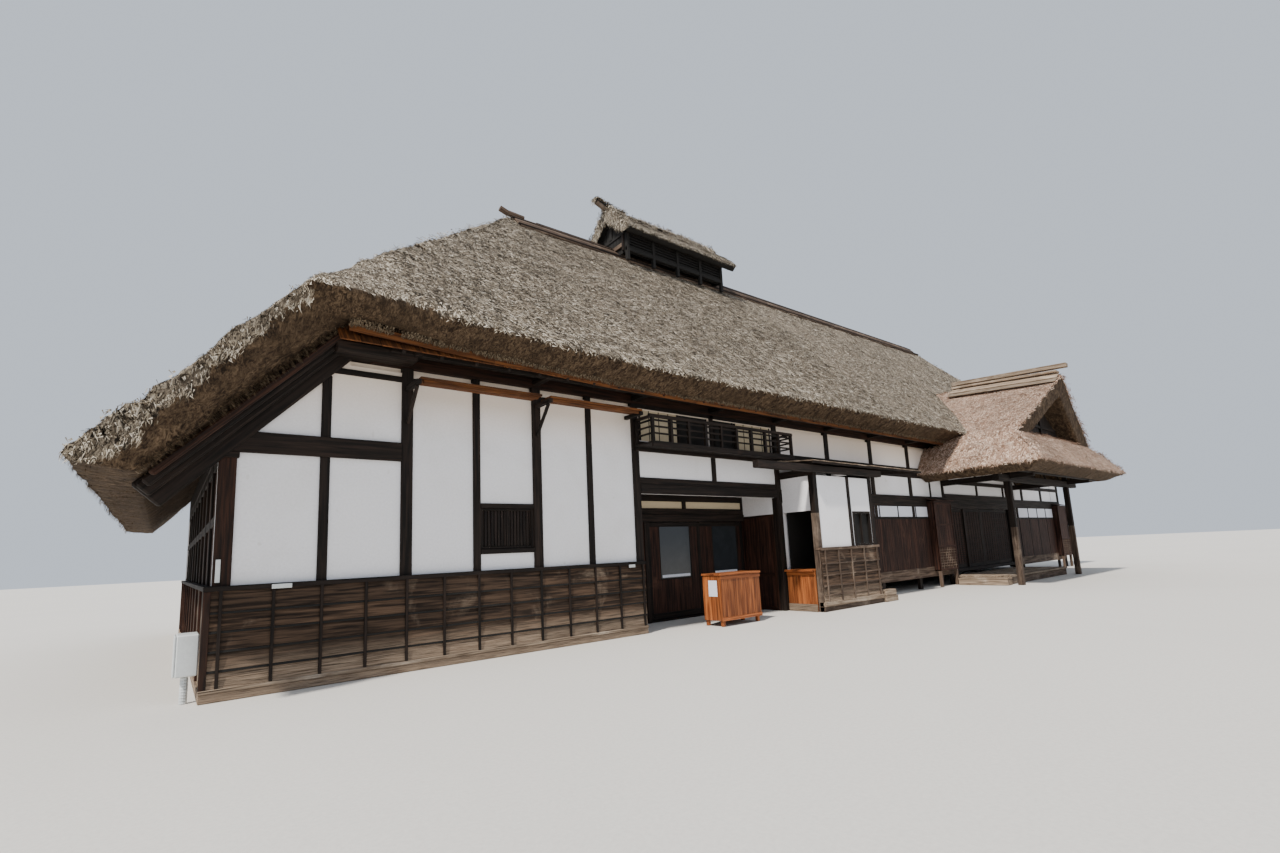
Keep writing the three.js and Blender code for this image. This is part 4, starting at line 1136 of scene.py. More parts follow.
def ragged(name: str, path: list[tuple[tuple, tuple]], count: int, length: float, seed: int) -> None:
    """Hangs a ragged strip of khaki straw along the inner edge of an eave.

    Args:
        name: name of the piece.
        path: start and end of each straight stretch.
        count: bunches on each metre.
        length: usual length of a straw.
        seed: seed of the straws.
    """
    whole = bmesh.new()
    whole.verts.layers.float.new(TONE)
    for number, (start, end) in enumerate(path):
        first, last = Vector(start), Vector(end)
        line = last - first
        bm = bmesh.new()
        bmesh.ops.create_grid(bm, x_segments=8, y_segments=1, size=0.5)
        side = line.normalized().cross(Vector((0, 0, 1))).normalized()
        turn = Matrix((line, side * 0.07, side.cross(line).normalized())).transposed().to_4x4()
        bmesh.ops.transform(bm, matrix=Matrix.Translation((first + last) / 2) @ turn, verts=bm.verts)
        bm.normal_update()
        for face in bm.faces:
            if face.normal.z > 0:
                face.normal_flip()
        kit = SheafKit(seed=seed + number, straws=12, length=length, width=0.008, lift=0.02, spread=0.05,
                       tangle=0.4)
        strands = kit.strew(bm.faces[:], int(count * line.length), 0.7)
        mesh = bpy.data.meshes.new(name)
        strands.to_mesh(mesh)
        whole.from_mesh(mesh)
        for used in (bm, strands):
            used.free()
    place(whole, name, [Finish.STRAW_EDGE], slot="thatch")


@dataclass
class FrontWest:
    """The front from the left corner to the entrance: posts, rails, shelf boards, window and boarding."""

    wall_top: float = EAVE_LOW
    sill: float = 0.130
    boarding: float = 1.212
    rows: int = 5
    rail: tuple[float, float] = (2.712, 2.962)

    def build(self) -> None:
        """Builds all pieces of this stretch."""
        self._frame()
        self._boarding()
        self._shutter()
        self._shelves()
        dress(("front_wall_west",), Finish.PLASTER)

    def _frame(self) -> None:
        """Posts, studs, rails and the beam that follows the low roof."""
        wood = Carpentry(11)
        posts = [2 * BAY, 4 * BAY, 6 * BAY]
        wood.lattice(uprights(posts, POST, 0, self.wall_top), -0.004, TIMBER_BACK)
        wood.lattice(uprights([BAY], STUD, 0, 3.76), 0.002, TIMBER_BACK)
        wood.lattice(uprights([3 * BAY, 5 * BAY], STUD, 0, self.wall_top), 0.002, TIMBER_BACK)
        wood.bar(-CORNER, CORNER, -0.002, TIMBER_BACK, 0, self.rail[0], Axis.Z, 0.006, 1)
        wood.bar(-CORNER - 0.02, CORNER + 0.02, -0.03, TIMBER_BACK, self.rail[0] - 0.07, self.rail[0])
        wood.bar(-CORNER, 2 * BAY - POST / 2, -0.022, TIMBER_BACK, *self.rail)
        wood.bar(-CORNER, 6 * BAY, 0.0, TIMBER_BACK, 0, self.sill, Axis.X)
        wood.bars([
            (BAY, 2 * BAY - POST / 2, 0.0, TIMBER_BACK, 3.807, 3.882),
            (2 * BAY, 6 * BAY, 0.006, TIMBER_BACK, 3.807, 3.882),
            (3 * BAY + STUD / 2, 4 * BAY - POST / 2, 0.0, TIMBER_BACK, 2.10, 2.17),
            (3 * BAY + STUD / 2, 4 * BAY - POST / 2, 0.0, TIMBER_BACK, 1.44, 1.51),
        ])
        slope = (4.38 - 2.37) / (1.148 + 0.76)
        height = 2.37 + 0.06 * slope - 0.245
        wood.strut((-0.70, 0.012, height), (1.24, 0.012, height + 1.94 * slope), 0.145, 0.335, 0.02)
        wood.strut((-0.72, -0.12, height + 0.04), (1.10, -0.12, height + 0.04 + 1.82 * slope), 0.11, 0.16,
                   0.02)
        wood.strut((-0.70, -0.26, height + 0.10), (1.05, -0.26, height + 0.10 + 1.75 * slope), 0.09, 0.10,
                   0.02)
        wood.strut((-0.66, -0.37, height + 0.19), (1.05, -0.37, height + 0.19 + 1.71 * slope), 0.08, 0.08,
                   0.02, 1)
        for y in (-0.40, -0.20, -0.02):
            wood.bar(1.0, 1.97, y, y + 0.16, 4.03 + y * 0.1, 4.16 + y * 0.1, Axis.X, 0.015)
        wood.place("front_timbers_west", [Finish.TIMBER, Finish.RED_TIMBER], replaces=("front_frame_west",))

    def _boarding(self) -> None:
        """Lapped boards with battens on the front, upright boards on the left end, and their cap and foot."""
        wood = Carpentry(12)
        base, cap, end = self.sill + 0.005, self.boarding - 0.055, 6 * BAY + 0.06
        pitch = (cap - base) / self.rows
        lean = Matrix.Rotation(math.radians(-5.0), 4, "X")
        for row in range(self.rows):
            z = base + (row + 0.5) * pitch
            for x0, x1 in ((-0.13, 2 * BAY), (2 * BAY, 4 * BAY), (4 * BAY, end)):
                size = Matrix.Diagonal((x1 - x0 - 0.003, 0.012, pitch + 0.03, 1))
                wood.block(Matrix.Translation(((x0 + x1) / 2, -0.026, z)) @ lean @ size, Axis.X.value,
                           0.0025, 0)
            # A near-black strip under each lap is the painted shadow of the board above it.
            if row:
                wood.bar(-0.13, end, -0.047, -0.020, z - pitch / 2 - 0.040, z - pitch / 2 - 0.016, Axis.X,
                         0.002, 5)
        for i in range(13):
            x = min(max(i * BAY / 2, -0.10), end - 0.025)
            wood.bar(x - 0.016, x + 0.016, -0.060, -0.030, base, cap + 0.005, Axis.Z, 0.003, 2)
        wood.row(Axis.Y, (-0.125, -0.105, 0.0, HOUSE_DEPTH, 0.06, cap), 46, 0.003)
        for y in evenly(0.02, HOUSE_DEPTH - 0.02, 11):
            wood.bar(-0.150, -0.124, y - 0.017, y + 0.017, 0.10, cap, Axis.Z, 0.003, 1)
        wood.bar(-0.16, end, -0.06, 0.0, cap, self.boarding, Axis.X, 0.004, 2)
        wood.bar(-0.16, -0.085, 0.0, HOUSE_DEPTH, cap, self.boarding, Axis.Y, 0.004, 2)
        wood.bar(-0.155, end, -0.050, 0.0, 0.0, 0.092, Axis.X, 0.006)
        wood.bar(-0.158, end, -0.065, 0.0, 0.094, 0.135, Axis.X, 0.006, 3)
        wood.bar(-0.155, -0.085, 0.0, HOUSE_DEPTH, 0.0, 0.10, Axis.Y, 0.006)
        wood.bar(-0.156, -0.09, -0.056, 0.01, 0.10, cap, Axis.Z, 0.004, 4)
        wood.place("lapped_boarding", [Finish.WEATHERED, Finish.BOARD, Finish.TIMBER, Finish.PALE,
                                       Finish.RED_TIMBER, Finish.PAINTED_SHADE], replaces=("wainscot",),
                   slot="board")
        plates = Carpentry(15)
        plates.bar(0.468, 0.668, -0.072, -0.061, 1.150, 1.200, Axis.X, 0.002)
        plates.bar(5.595, 5.725, -0.072, -0.061, 1.118, 1.165, Axis.X, 0.002)
        plates.bar(-0.062, -0.018, -0.020, -0.006, 1.25, 1.50, Axis.Z, 0.002)
        plates.place("blank_plates", [Finish.METAL], slot="meter_cover")

    def _shutter(self) -> None:
        """Closed slatted window in its frame."""
        wood = Carpentry(13)
        x0, x1, z0, z1 = 3.00, 3.875, 1.51, 2.10
        wood.bars([
            (x0, x0 + 0.05, 0.02, 0.07, z0, z1), (x1 - 0.05, x1, 0.02, 0.07, z0, z1),
            (x0, x1, 0.03, 0.07, z1 - 0.035, z1), (x0, x1, 0.03, 0.07, z0, z0 + 0.035),
            ((x0 + x1) / 2 - 0.015, (x0 + x1) / 2 + 0.015, 0.035, 0.07, z0, z1),
        ])
        slats = uprights(evenly(x0 + 0.05, x1 - 0.05, 16), 0.042, z0 + 0.03, z1 - 0.03)
        wood.lattice(slats, 0.048, 0.066, 0, 0.003)
        wood.place("window_slats", [Finish.TIMBER], replaces=("window_shutter",), slot="board")

    def _shelves(self) -> None:
        """Long boards on brackets under the eave."""
        wood = Carpentry(14)
        # The shelf boards (number 1) are brown wood with painted orange bounce light from the ground.
        for x0, x1 in ((1.99, 3.79), (3.93, 5.72)):
            wood.bars([
                (x0, x1, -0.47, -0.31, 3.745, 3.778), (x0 + 0.01, x1 - 0.01, -0.30, -0.15, 3.745, 3.776),
                (x0 + 0.05, x1 - 0.05, -0.44, -0.40, 3.70, 3.745),
            ], Axis.X, 0.004, 1)
        for x in (2 * BAY, 4 * BAY, 6 * BAY - 0.2):
            wood.bar(x - 0.035, x + 0.035, -0.46, 0.0, 3.68, 3.744, Axis.Y)
        for x in (2 * BAY, 4 * BAY):
            wood.strut((x, -0.005, 3.24), (x, -0.39, 3.675), 0.04, 0.05)
        wood.place("shelf_planks", [Finish.TIMBER, Finish.BOUNCE_LIT_SOFFIT], replaces=("shelf_boards",), slot="board")


@dataclass
class Entrance:
    """The recessed entrance with its balcony and sliding doors."""

    x0: float = 6 * BAY + POST / 2
    x1: float = 10 * BAY - POST / 2
    back: float = 1.0
    door_left: float = 6.90
    door_top: float = 1.93

    def build(self) -> None:
        """Builds the entrance's pieces."""
        self._head()
        self._recess()
        self._balcony()
        dress(("entrance_head_wall",), Finish.PLASTER)
        # The window panes get painted shade for the dark room behind them.
        dress(("entrance_window_panes",), Finish.PAINTED_SHADE)
        SlidingLeaf("entrance_door_left", "entrance_leaf_left", LeafStyle.GLAZED, 31, (7.24, 8.06)).build()
        SlidingLeaf("entrance_door_right", "entrance_leaf_right", LeafStyle.GLAZED, 32, (8.79, 9.55)).build()
        TicketDesk().build()

    def _head(self) -> None:
        """Lintels and rails over the opening, and the panels behind the balcony."""
        wood = Carpentry(21)
        x0, x1 = self.x0, self.x1
        wood.bars([
            (x0, x1, -0.012, TIMBER_BACK, 2.395, 2.56), (x0, x1, 0.004, TIMBER_BACK, 2.56, 2.68),
            (8 * BAY - STUD / 2, 8 * BAY + STUD / 2, 0.0, TIMBER_BACK, 2.68, 3.24),
            (8 * BAY - STUD / 2, 8 * BAY + STUD / 2, 0.0, TIMBER_BACK, 3.33, EAVE_LOW),
            (x0, x1, 0.0, TIMBER_BACK, 3.24, 3.33), (x0, x1, 0.0, TIMBER_BACK, EAVE_LOW - 0.07, EAVE_LOW),
        ])
        # Panels of number 2 are near-black sheets, painted shade of the dark space behind them.
        for a, b, slot in ((6.05, 7.0, 1), (7.0, 7.78, 2), (7.98, 8.55, 2), (8.6, 9.74, 1)):
            wood.bar(a, b, 0.050, 0.062, 3.34, 3.94, Axis.X, 0.002, slot)
            for x in (a, b - 0.03):
                wood.bar(x, x + 0.03, 0.035, 0.08, 3.34, 3.94, Axis.Z, 0.003)
            if slot == 1:
                wood.lattice(uprights(evenly(a, b, 5)[1:-1], 0.016, 3.34, 3.94), 0.042, 0.052, 0, 0.002)
        wood.place("entrance_timbers", [Finish.TIMBER, Finish.CREAM, Finish.PAINTED_SHADE],
                   replaces=("entrance_head_frame",))

    def _recess(self) -> None:
        """Boarded walls and head of the recess, with two pale bands of windows."""
        wood = Carpentry(22)
        x0, x1, back = self.x0, self.x1, self.back
        wood.row(Axis.Y, (x0 - 0.115, x0 - 0.002, 0.14, back, 0.0, 3.18), 9, 0.002, slot=1)
        wood.bar(x1 + 0.004, x1 + 0.115, 0.14, back + 0.11, 0.0, 2.0, Axis.Z, 0.003, 1)
        wood.bar(x1 + 0.001, x1 + 0.115, 0.14, back + 0.11, 2.05, 3.18, Axis.Z, 0.003, 2)
        wood.bar(x1 - 0.004, x1 + 0.115, 0.14, back + 0.11, 2.0, 2.05, Axis.Y, 0.004, 3)
        for y in (0.16, back - 0.07):
            wood.bar(x1 - 0.006, x1 + 0.05, y, y + 0.06, 0.0, 2.0, Axis.Z, 0.004, 3)
        for z in (0.02, 0.72):
            wood.bar(x1 - 0.006, x1 + 0.05, 0.22, back - 0.07, z, z + 0.07, Axis.Y, 0.004, 3)
        for x in (x0 - 0.030, x1 - 0.004):
            wood.bar(x, x + 0.034, 0.0, 0.15, 0.0, 2.40, Axis.Z, 0.004)
        wood.row(Axis.X, (x0, self.door_left, back, back + 0.10, 0.0, self.door_top + 0.02), 5, 0.002, slot=1)
        wood.bar(self.door_left, x1, back - 0.008, back + 0.13, 0.0, 0.038, Axis.X, 0.004)
        wood.bar(self.door_left - 0.08, self.door_left + 0.004, back - 0.02, back + 0.11, 0.0,
                 self.door_top + 0.02)
        wood.place("recess_boards", [Finish.TIMBER, Finish.BOARD, Finish.PLASTER, Finish.RED_TIMBER],
                   replaces=("recess_walls",), slot="board")
        head = Carpentry(23)
        head.bars([
            (x0, x1, back - 0.02, back + 0.11, self.door_top + 0.02, 2.10),
            (x0, x1, back, back + 0.11, 2.10, 2.225), (x0, x1, back, back + 0.11, 2.37, 2.62),
            (x0, x1, back, back + 0.11, 2.62, 3.18),
        ])
        for a, b in ((x0, x0 + 0.05), (7.9, 8.0), (x1 - 0.06, x1)):
            head.bar(a, b, back, back + 0.11, 2.225, 2.37, Axis.Z)
        head.bar(x0 + 0.05, x1 - 0.06, back + 0.03, back + 0.06, 2.225, 2.37, Axis.X, 0.001, 1)
        head.place("recess_head", [Finish.TIMBER, Finish.CREAM], replaces=("recess_head_wall",))

    def _balcony(self) -> None:
        """Shallow balcony with a post and rail balustrade."""
        wood = Carpentry(24)
        x0, x1, y0, top, deck = 5.88, 9.8, -0.53, 3.715, 3.24
        wood.row(Axis.Y, (x0, x1, y0, y0 + 0.53, deck - 0.035, deck), 5, 0.003, Axis.X)
        wood.bars([
            (x0, x1, y0, y0 + 0.05, deck - 0.10, deck - 0.03), (x0, x1, -0.06, 0.0, deck - 0.10, deck - 0.03),
            (x0 - 0.04, x1, y0 + 0.02, y0 + 0.08, top - 0.055, top),
        ], Axis.X)
        for z in (3.37, 3.49, 3.60):
            wood.bar(x0, x1 - 0.02, y0 + 0.038, y0 + 0.065, z, z + 0.030, Axis.X, 0.003)
        wood.lattice(uprights(evenly(x0 + 0.04, x1 - 0.04, 10), 0.056, deck, top), y0 + 0.024, y0 + 0.080,
                     0, 0.003)
        for x in (x0 + 0.01, x1 - 0.07):
            wood.bar(x, x + 0.06, y0 + 0.06, 0.0, top - 0.05, top - 0.005, Axis.Y)
            wood.bar(x, x + 0.06, -0.07, -0.01, deck, top, Axis.Z)
            for z in (3.37, 3.49, 3.60):
                wood.bar(x + 0.015, x + 0.045, y0 + 0.06, 0.0, z, z + 0.03, Axis.Y, 0.003)
        wood.place("balcony_rails", [Finish.TIMBER], replaces=("balcony",))


class LeafStyle(Enum):
    """Kinds of sliding leaf."""

    GLAZED = "boards with a pane"
    LATTICE = "fine lattice"


@dataclass
class SlidingLeaf:
    """One sliding door leaf, built inside its solid's box.

    Attributes:
        node: the solid.
        body: the body it rides on.
        style: kind of leaf.
        seed: seed of its grain.
        pane: left and right edge of its pane, if it has one.
    """

    node: str
    body: str
    style: LeafStyle
    seed: int
    pane: tuple[float, float] = (0.0, 0.0)

    def build(self) -> None:
        """Builds the leaf."""
        low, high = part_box(self.node)
        wood = Carpentry(self.seed)
        x0, x1, y0, y1, z0, z1 = low.x, high.x, low.y, high.y, low.z, high.z
        stile = 0.085
        wood.bars([
            (x0, x0 + stile, y0, y1, z0 + 0.006, z1), (x1 - stile, x1, y0, y1, z0 + 0.006, z1),
            (x0 + stile, x1 - stile, y0, y1, z1 - 0.09, z1),
            (x0 + stile, x1 - stile, y0, y1, z0 + 0.006, z0 + 0.12),
        ])
        for x in (x0 + 0.06, x1 - 0.12):
            wood.bar(x, x + 0.06, y0 + 0.008, y1 - 0.008, z0, z0 + 0.02)
        if self.style is LeafStyle.GLAZED:
            self._glazed(wood, (x0 + stile, x1 - stile, y0, y1, z0 + 0.12, z1 - 0.09))
        else:
            self._lattice(wood, (x0 + stile, x1 - stile, y0, y1, z0 + 0.12, z1 - 0.09))
        wood.place(self.node + "_joinery", [Finish.TIMBER, Finish.BOARD, Finish.GLASS, Finish.PAPER],
                   self.body, (self.node,), "board")

    def _glazed(self, wood: Carpentry, box: Box) -> None:
        """Boards below and beside one pane, with a blank sheet behind it.

        Args:
            wood: carpentry of the leaf.
            box: space between the stiles and the rails.
        """
        x0, x1, y0, y1, z0, z1 = box
        middle = (y0 + y1) / 2
        left, right, low, high = self.pane[0], self.pane[1], 0.82, 1.89
        high = min(high, z1)
        stretches = [(x0, right, z0, low), (right, x1, z0, z1), (x0, left, low, z1), (left, right, high, z1)]
        for a, b, low_z, high_z in stretches:
            if high_z - low_z > 0.02:
                wood.row(Axis.X, (a, b, middle - 0.006, middle + 0.006, low_z, high_z),
                         max(1, round((b - a) / 0.17)), 0.0015, Axis.Z, 0.002, 1)
        wood.bar(left, right, middle - 0.003, middle + 0.003, low, high, Axis.Z, 0.001, 2)
        wood.bar(left + 0.03, right - 0.03, middle - 0.006, middle - 0.004, low + 0.02, low + 0.07, Axis.X,
                 0.0005, 3)
        for x in (left - 0.022, right):
            wood.bar(x, x + 0.022, y0 + 0.006, middle + 0.008, low - 0.02, high, Axis.Z, 0.003)
        wood.bar(left, right, y0 + 0.006, middle + 0.008, low - 0.022, low, Axis.X, 0.003)

    def _lattice(self, wood: Carpentry, box: Box) -> None:
        """Close level bars over boards, with a few uprights.

        Args:
            wood: carpentry of the leaf.
            box: space between the stiles and the rails.
        """
        x0, x1, y0, y1, z0, z1 = box
        middle = (y0 + y1) / 2
        wood.bar(x0, x1, middle - 0.002, middle + 0.006, z0, z1, Axis.Z, 0.0, 1)
        rows = 26
        for i in range(rows):
            z = z0 + (i + 0.5) * (z1 - z0) / rows
            wood.bar(x0, x1, middle - 0.013, middle - 0.004, z - 0.011, z + 0.011, Axis.X, 0.002)
        wood.lattice(uprights(evenly(x0, x1, 7)[1:-1], 0.018, z0, z1), y0 + 0.001, middle - 0.003, 0, 0.002)


@dataclass
class TicketDesk:
    """A desk of worn planks that stands in front of the entrance."""

    x0: float = 7.18
    x1: float = 8.22
    y0: float = -0.64
    y1: float = -0.18
    top: float = 0.92

    def build(self) -> None:
        """Builds the desk: planked front and sides, shelf, feet, top and a blank sheet."""
        wood = Carpentry(45)
        x0, x1, y0, y1, top = self.x0, self.x1, self.y0, self.y1, self.top
        under = top - 0.035
        wood.row(Axis.X, (x0, x1, y0, y0 + 0.028, 0.10, under), 6, 0.003)
        for low in (x0, x1 - 0.028):
            wood.row(Axis.Y, (low, low + 0.028, y0 + 0.03, y1, 0.10, under), 3, 0.003)
        wood.row(Axis.Y, (x0 - 0.022, x1 + 0.022, y0 - 0.022, y1 + 0.008, under, top), 3, 0.003, Axis.X,
                 0.004)
        wood.bar(x0 + 0.03, x1 - 0.03, y0 + 0.03, y1 - 0.005, 0.42, 0.445, Axis.X, 0.003)
        for x in (x0 + 0.03, x1 - 0.09):
            for y in (y0 + 0.03, y1 - 0.065):
                wood.bar(x, x + 0.06, y, y + 0.06, 0.0, under, Axis.Z, 0.004)
        for z in (0.10, under - 0.07):
            wood.bar(x0 - 0.010, x1 + 0.010, y0 - 0.012, y0 - 0.001, z, z + 0.06, Axis.X, 0.003)
        wood.bar(x0 - 0.004, x0 - 0.001, y0 + 0.10, y0 + 0.31, 0.52, 0.80, Axis.Z, 0.001, 1)
        wood.place("desk_planks", [Finish.COUNTER, Finish.PAPER], replaces=("ticket_desk",),
                   slot="counter_planks")


@dataclass
class Booth:
    """The ticket booth, its counter and the pent roof over it."""

    x0: float = 9.9
    x1: float = 12.15
    y: float = -0.85
    post: float = 0.13
    top: float = 2.79
    boarding: float = 1.245

    def build(self) -> None:
        """Builds the booth's pieces."""
        self._frame()
        self._counter()
        self._roof()
        dress(("booth_walls",), Finish.PLASTER)

    def _frame(self) -> None:
        """Posts, rails, beams, window, painted shade inside and the gridded boarding."""
        wood = Carpentry(41)
        x0, x1, y, post, top, cap = self.x0, self.x1, self.y, self.post, self.top, self.boarding
        wood.bar(x0, x0 + post, y, y + post, 2.0, top, Axis.Z, 0.008)
        wood.bar(x0, x0 + post, y, y + post, 0, 2.0, Axis.Z, 0.008, 1)
        wood.bar(x1 - post, x1, y, y + post, 0, top, Axis.Z, 0.008)
        wood.bar(11.13, 11.23, y, y + 0.06, cap + 0.04, top)
        wood.bar(x0 - 0.01, x1 + 0.02, y - 0.045, y + 0.10, cap - 0.01, cap + 0.04, Axis.X, 0.005, 2)
        wood.bar(8.06, 12.45, -0.96, y + 0.03, top + 0.05, top + 0.19)
        for x in (x0, x1 - post):
            wood.bar(x, x + post, y, 0, top, top + 0.15, Axis.Y)
        bottom, lean = 0.19, Matrix.Rotation(math.radians(-5), 4, "X")
        lines = [0.19, 0.32, 0.50, 0.72, 0.95, cap - 0.01]
        for low, high in zip(lines, lines[1:]):
            size = Matrix.Diagonal((x1 - x0 - 0.03, 0.012, high - low + 0.02, 1))
            wood.block(Matrix.Translation(((x0 + x1) / 2, y - 0.014, (low + high) / 2)) @ lean @ size,
                       Axis.X.value, 0.002, 3)
            wood.bar(x0 + 0.02, x1 - 0.02, y - 0.034, y - 0.014, high - 0.014, high + 0.014, Axis.X, 0.003, 2)
        for x in (10.051, 10.532, 11.009, 11.52, 12.046):
            wood.bar(x - 0.018, x + 0.018, y - 0.042, y - 0.016, bottom, cap - 0.01, Axis.Z, 0.003, 2)
        wood.bar(x0, x1, y - 0.045, y + 0.10, 0.10, bottom, Axis.X, 0.006, 4)
        wood.bar(x0, x1, y - 0.02, y + 0.10, 0, 0.10, Axis.X, 0.006, 2)
        wood.bars([
            (11.28, 11.32, y, y + 0.07, 1.31, 2.01), (11.94, 11.98, y, y + 0.07, 1.31, 2.01),
            (11.60, 11.63, y + 0.01, y + 0.06, 1.31, 2.01), (11.28, 11.98, y, y + 0.07, 1.99, 2.04),
            (11.28, 11.98, y - 0.01, y + 0.07, 1.29, 1.33),
        ])
        # The pane behind the window is painted shade of the booth's inside.
        wood.bar(11.3, 11.96, y + 0.07, y + 0.075, 1.32, 2.0, Axis.X, 0.001, 5)
        wood.place("booth_timbers", [Finish.TIMBER, Finish.GREYED, Finish.GREYED, Finish.WEATHERED,
                                     Finish.PALE, Finish.PAINTED_SHADE], replaces=("booth_frame",))
        # A near-black lining paints the shade inside the booth.
        inside = Carpentry(46)
        inside.bar(10.035, 12.015, -0.02, -0.008, 0.004, 2.74, Axis.X, 0.002)
        inside.bar(12.005, 12.018, -0.74, -0.02, 0.004, 2.74, Axis.Y, 0.002)
        inside.bar(10.035, 12.0, -0.738, -0.730, 0.10, 1.25, Axis.X, 0.002)
        for a, b, z0, z1 in ((10.035, 11.28, 1.25, 2.74), (11.98, 12.0, 1.25, 2.74),
                             (11.28, 11.98, 2.02, 2.74)):
            inside.bar(a, b, -0.738, -0.730, z0, z1, Axis.Z, 0.002)
        inside.place("booth_lining", [Finish.PAINTED_SHADE])
        foot = Carpentry(47)
        foot.bar(12.19, 12.72, -0.92, -0.70, 0.0, 0.12, Axis.X, 0.012)
        foot.bar(12.23, 12.70, -0.90, -0.71, 0.12, 0.26, Axis.X, 0.018)
        foot.place("booth_foot_blocks", [Finish.PALE], slot="pale_wood")

    def _counter(self) -> None:
        """Counter of upright planks with a worn top."""
        low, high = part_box("booth_counter")
        wood = Carpentry(42)
        wood.bar(low.x, high.x, low.y, high.y, high.z - 0.04, high.z, Axis.Y, 0.005)
        wood.row(Axis.Y, (self.x0 - 0.03, self.x0, low.y, high.y, 0.0, high.z - 0.04), 6, 0.002)
        wood.bar(self.x0 - 0.045, self.x0 - 0.02, low.y, high.y, high.z - 0.12, high.z - 0.04, Axis.Y, 0.003)
        wood.bar(self.x0 - 0.045, self.x0 - 0.02, low.y, high.y, 0.0, 0.15, Axis.Y, 0.003, 1)
        wood.place("counter_planks", [Finish.COUNTER, Finish.WEATHERED], replaces=("booth_counter",),
                   slot="counter_planks")

    def _roof(self) -> None:
        """Thin roof of pale bark shingles on timber rafters, with a timber edge board."""
        wood = Carpentry(43)
        x0, x1 = 9.63, 14.20
        for row in range(8):
            y = -1.075 + row * 0.134
            z = 3.040 + (y + 1.075) * 0.118 + 0.012
            x = x0
            while x < x1 - 0.02:
                wide = min(wood.dice.uniform(0.09, 0.2), x1 - x)
                size = Matrix.Diagonal((wide - 0.004, 0.19, 0.014, 1))
                spot = Matrix.Translation((x + wide / 2, y + 0.08, z + wood.dice.uniform(0, 0.007)))
                turn = Matrix.Rotation(math.radians(4 + wood.dice.uniform(-1.5, 1.5)), 4, "X")
                wood.block(spot @ turn @ size, Axis.Y.value, 0.0, 0)
                x += wide
        for x in evenly(x0 + 0.08, x1 - 0.08, 11):
            wood.strut((x, -1.04, 3.018), (x, -0.01, 3.125), 0.05, 0.045, 0.004, 1)
        wood.bar(x0, x1, -1.07, -1.045, 3.0, 3.045, Axis.X, 0.003, 1)
        wood.place("pent_shingles", [Finish.PALE, Finish.TIMBER], replaces=("pent_roof",), slot="thatch")


